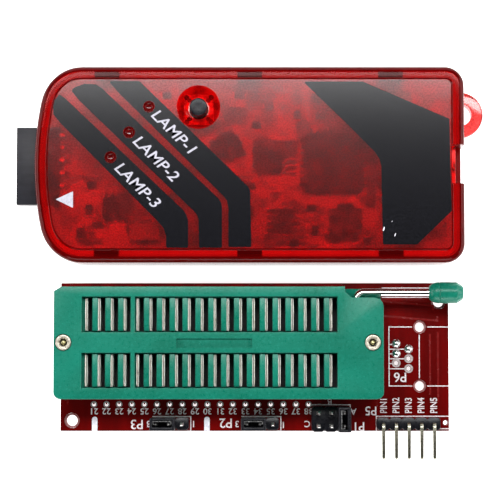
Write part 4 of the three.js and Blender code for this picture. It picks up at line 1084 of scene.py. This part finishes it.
def tube(path, r, sides=32):
    rings_, up = [], Vector((0, 0, 1))
    pts = [Vector(p) for p in path]
    for i, p in enumerate(pts):
        t = Vector((0, 0, 0))
        if i:
            t += (p - pts[i - 1]).normalized()
        if i + 1 < len(pts):
            t += (pts[i + 1] - p).normalized()
        t.normalize()
        u = (up - t * up.dot(t)).normalized()
        w = t.cross(u)
        rings_.append([tuple(p + u * (r * math.cos(2 * math.pi * k / sides)) + w * (r * math.sin(2 * math.pi * k / sides))) for k in range(sides)])
    return loft(rings_)


path = [(SX, lv_lo[1] + 0.02, SZ), (SX, ROD_Y - 1.5, SZ)]
for k in range(1, 13):
    a = math.radians(90 * k / 12)
    path.append((SX + 1.5 - 1.5 * math.cos(a), ROD_Y - 1.5 + 1.5 * math.sin(a), SZ))
path.append((lv_hi[0] - 0.02, ROD_Y, SZ))
ZC_Y = mid("zif_rivet_left", 1) - 0.05
cam_v, cam_f = lathe([(0, -2.0 + 0.25), (0.85, -2.0 + 0.25), (0.85, 1.5), (0, 1.5)], 32, axis="x")
cam_v = [(SX + yy, ZC_Y + xx + 0.2 - 0.0, SZ + 0.9 + zz) for xx, yy, zz in cam_v]
lever = put("lever_rod", data("lever_rod", *tube(path, ROD_R)), STEEL, "lever", 40)
camo = put("lever_cam", data("lever_cam", cam_v, cam_f), STEEL, "lever", 40)
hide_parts("zif_lever")
# knob: domed collar, seam, barrel with an eight-sided chamfered end
kb_lo, kb_hi = mmbox("zif_lever_knob")
kx, kz = kb_lo[0], (kb_lo[2] + kb_hi[2]) / 2
KP = [(0.82, 0.0), (1.0, 0.02), (1.25, 0.12), (1.52, 0.34), (1.75, 0.62), (1.93, 0.98), (2.04, 1.35), (2.1, 1.8), (2.1, 2.02), (2.06, 2.08), (2.0, 2.1), (2.06, 2.14), (2.12, 2.22), (2.12, 5.5), (2.07, 5.66), (1.98, 5.8), (1.5, 6.55), (1.38, 6.72), (1.2, 6.83), (0.9, 6.86), (0, 6.87)]
KP = [(0, 0.02)] + KP


def octo(i, a):
    if i >= len(KP) - 7:
        s = (a / (math.pi / 4)) % 1.0
        return (1 - 0.076 * (1 - abs(2 * s - 1))) if i < len(KP) - 1 else 1.0
    return 1.0


knob = put("lever_knob", data("lever_knob", *lathe([(r, kx + h) for r, h in KP], 64, axis="x", at=(0, ROD_Y, kz), waves=octo)), GREEN, "lever", 30)
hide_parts("zif_lever_knob")

# ------------------------------------------------------------------ pin headers, pins and jumper caps
def pin_mesh(x, y, z0, z1, w=0.32):
    t = w * 0.45
    v, f = loft([[(x - t, y - t, z0), (x + t, y - t, z0), (x + t, y + t, z0), (x - t, y + t, z0)], [(x - w, y - w, z0 + 0.35), (x + w, y - w, z0 + 0.35), (x + w, y + w, z0 + 0.35), (x - w, y + w, z0 + 0.35)],
                 [(x - w, y - w, z1 - 0.4), (x + w, y - w, z1 - 0.4), (x + w, y + w, z1 - 0.4), (x - w, y + w, z1 - 0.4)], [(x - t, y - t, z1), (x + t, y - t, z1), (x + t, y + t, z1), (x - t, y + t, z1)]])
    return v, f


def strip(lo, hi, cols, rows_):
    h, c = PITCH / 2, 0.42
    x0, y0, y1 = lo[0] + h, lo[1], hi[1]
    o = []
    for k in range(cols):
        x = x0 + k * PITCH
        o += [(x - h, y0 + c), (x - h + c, y0), (x + h - c, y0)]
    o.append((x0 + (cols - 1) * PITCH + h, y0 + c))
    for k in range(cols - 1, -1, -1):
        x = x0 + k * PITCH
        o += [(x + h, y1 - c), (x + h - c, y1), (x - h + c, y1)]
    o.append((x0 - h, y1 - c))
    return o


for nm, cols, rows_ in (("j1", 3, 2), ("j2", 3, 1), ("j3", 3, 1)):
    lo, hi = mmbox(nm + "_header")
    body = put(nm + "_insulator", data(nm, *prism(strip(lo, hi, cols, rows_), BTOP + 0.05, BTOP + 2.55)), BLACK, None)
    bevel(body, 0.08, 2)
    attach(body, "board")
    pins_ = joined(*[pin_mesh(lo[0] + PITCH / 2 + c * PITCH, hi[1] - 1.25 - r_ * PITCH, lo[2], hi[2]) for c in range(cols) for r_ in range(rows_)])
    pn = put(nm + "_pins", data(nm + "_pins", *pins_), TIN, "board", 30)
    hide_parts(nm + "_header")
lo, hi = mmbox("j5_header")
body = put("j5_insulator", data("j5", *prism(strip(lo, hi, 5, 1), BTOP + 0.05, BTOP + 2.55)), BLACK, None)
bevel(body, 0.08, 2)
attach(body, "board"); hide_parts("j5_header")
for k in range(1, 6):
    lo, hi = mmbox(f"j5_pin_{k}")
    cx, w = (lo[0] + hi[0]) / 2, 0.32
    yc, zt, yt = hi[1] - w, hi[2] - w, lo[1]
    R = 0.75
    path = [(cx, yc, lo[2]), (cx, yc, lo[2] + 0.35), (cx, yc, zt - R)] + [(cx, yc - R + R * math.cos(math.radians(a)), zt - R + R * math.sin(math.radians(a))) for a in (15, 30, 45, 60, 75, 90)] + [(cx, yt + 0.4, zt), (cx, yt, zt)]
    sec = []
    pts = [Vector(p) for p in path]
    for i, p in enumerate(pts):
        t = Vector((0, 0, 0))
        if i:
            t += (p - pts[i - 1]).normalized()
        if i + 1 < len(pts):
            t += (pts[i + 1] - p).normalized()
        t.normalize()
        u = Vector((1, 0, 0))
        q = t.cross(u)
        s = w * (0.45 if i in (0, len(pts) - 1) else 1.0)
        sec.append([tuple(p + u * (a * s) + q * (b * s)) for a, b in ((-1, -1), (1, -1), (1, 1), (-1, 1))])
    pin = put(f"target_pin_{k}", data(f"target_pin_{k}", *loft(sec)), GOLD, None)
    bevel(pin, 0.06, 1, 30)
    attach(pin, "board"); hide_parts(f"j5_pin_{k}")

for k in (1, 2, 3):
    from_cad(f"jumper_cap_{k}", f"jumper_{k}_cap", BLACK, f"jumper_{k}", 0.22, 3)
    lo, hi = mmbox(f"jumper_clip_{k}")
    along = 1 if hi[1] - lo[1] > hi[0] - lo[0] else 0
    # folded clip: two bows joined by a web, seen from above as a staple
    cl_lo, cl_hi = mmbox(f"jumper_clip_{k}")
    L = (cl_hi[along] - cl_lo[along]) / 2
    c0 = [(cl_lo[i] + cl_hi[i]) / 2 for i in (0, 1)]
    web = []
    side = -1 if along == 0 else 1
    def place(a, b, z):
        return (c0[0] + a, c0[1] + b, z) if along == 0 else (c0[0] + b, c0[1] + a, z)
    pl = [(-L + 0.15, side * 0.62), (-L, side * 0.45), (-L, -0.02), (L, -0.02), (L, side * 0.45), (L - 0.15, side * 0.62)]
    out2 = ribbon(pl, 0.16)
    v = [place(a, b, cl_lo[2]) for a, b in out2] + [place(a, b, cl_hi[2] - 0.1) for a, b in out2]
    n = len(out2)
    f = [tuple(range(n)), tuple(range(n, 2 * n))[::-1]] + [(i, (i + 1) % n, n + (i + 1) % n, n + i) for i in range(n)]
    o = put(f"jumper_{k}_clip", data(f"jumper_{k}_clip", v, f), SOLDER, f"jumper_{k}", 30)
    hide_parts(f"jumper_clip_{k}")

# ------------------------------------------------------------------ floor, light, camera
m, t, out = new_mat("studio_floor")
c = ramp(t, noise(t, 6, 2.0), [(0.3, (0.93, 0.93, 0.93, 1)), (0.7, (0.95, 0.95, 0.95, 1))])
p = principled(t, **{"Base Color": c, "Roughness": 0.7})
p.inputs["Specular IOR Level"].default_value = 0.0
p.inputs["Emission Color"].default_value = (1, 1, 1, 1)
p.inputs["Emission Strength"].default_value = 0.9
t.links.new(p.outputs["BSDF"], out.inputs["Surface"])
fl = put("studio_floor", data("studio_floor", [(-4000, -4000, -0.02), (4000, -4000, -0.02), (4000, 4000, -0.02), (-4000, 4000, -0.02)], [(0, 1, 2, 3)]), m, None)

w = bpy.data.worlds.new("studio")
bpy.context.scene.world = w
w.use_nodes = True
w.node_tree.nodes["Background"].inputs["Color"].default_value = (1, 1, 1, 1)
w.node_tree.nodes["Background"].inputs["Strength"].default_value = 0.05


def area(name, loc, target, sx, sy, energy, spread=180):
    L = bpy.data.lights.new(name, "AREA")
    L.shape, L.size, L.size_y, L.energy = "RECTANGLE", sx, sy, energy
    o = bpy.data.objects.new(name, L)
    bpy.context.scene.collection.objects.link(o)
    o.location = loc
    o.rotation_euler = (Vector(target) - Vector(loc)).to_track_quat("-Z", "Y").to_euler()
    o.visible_camera = False
    return o


area("key", (0.02, 0.13, 0.36), (0.02, 0.13, 0.0), 0.55, 0.09, 2.4)
sheen = area("sheen", (0.03, 0.088, 0.36), (0.03, 0.088, 0.0), 0.5, 0.04, 0.28)
sheen.visible_diffuse = False
area("left", (-0.8, -0.02, 0.28), (0, -0.02, 0), 0.9, 0.34, 5.2)
area("right", (0.8, -0.02, 0.28), (0, -0.02, 0), 0.9, 0.34, 5.2)
area("front", (0.0, -0.82, 0.28), (0, -0.02, 0), 0.9, 0.34, 6.4)
area("back", (0.0, 0.82, 0.22), (0, -0.02, 0), 0.9, 0.3, 2.0)

cam = bpy.data.cameras.new("camera")
cam.sensor_width, cam.lens, cam.clip_start, cam.clip_end = 36.0, 1965.0 * 36 / 500, 0.01, 20
co = bpy.data.objects.new("camera", cam)
bpy.context.scene.collection.objects.link(co)
eye, aim = Vector((0.0001, -0.0416, 0.400)), Vector((0.0001, -0.0166, 0.006))
fw = (aim - eye).normalized()
rt = Vector((1, 0, 0))
up = rt.cross(fw)
co.matrix_world = Matrix(((rt.x, up.x, -fw.x, eye.x), (rt.y, up.y, -fw.y, eye.y), (rt.z, up.z, -fw.z, eye.z), (0, 0, 0, 1)))
bpy.context.scene.camera = co
bpy.context.scene.view_settings.view_transform = "Standard"

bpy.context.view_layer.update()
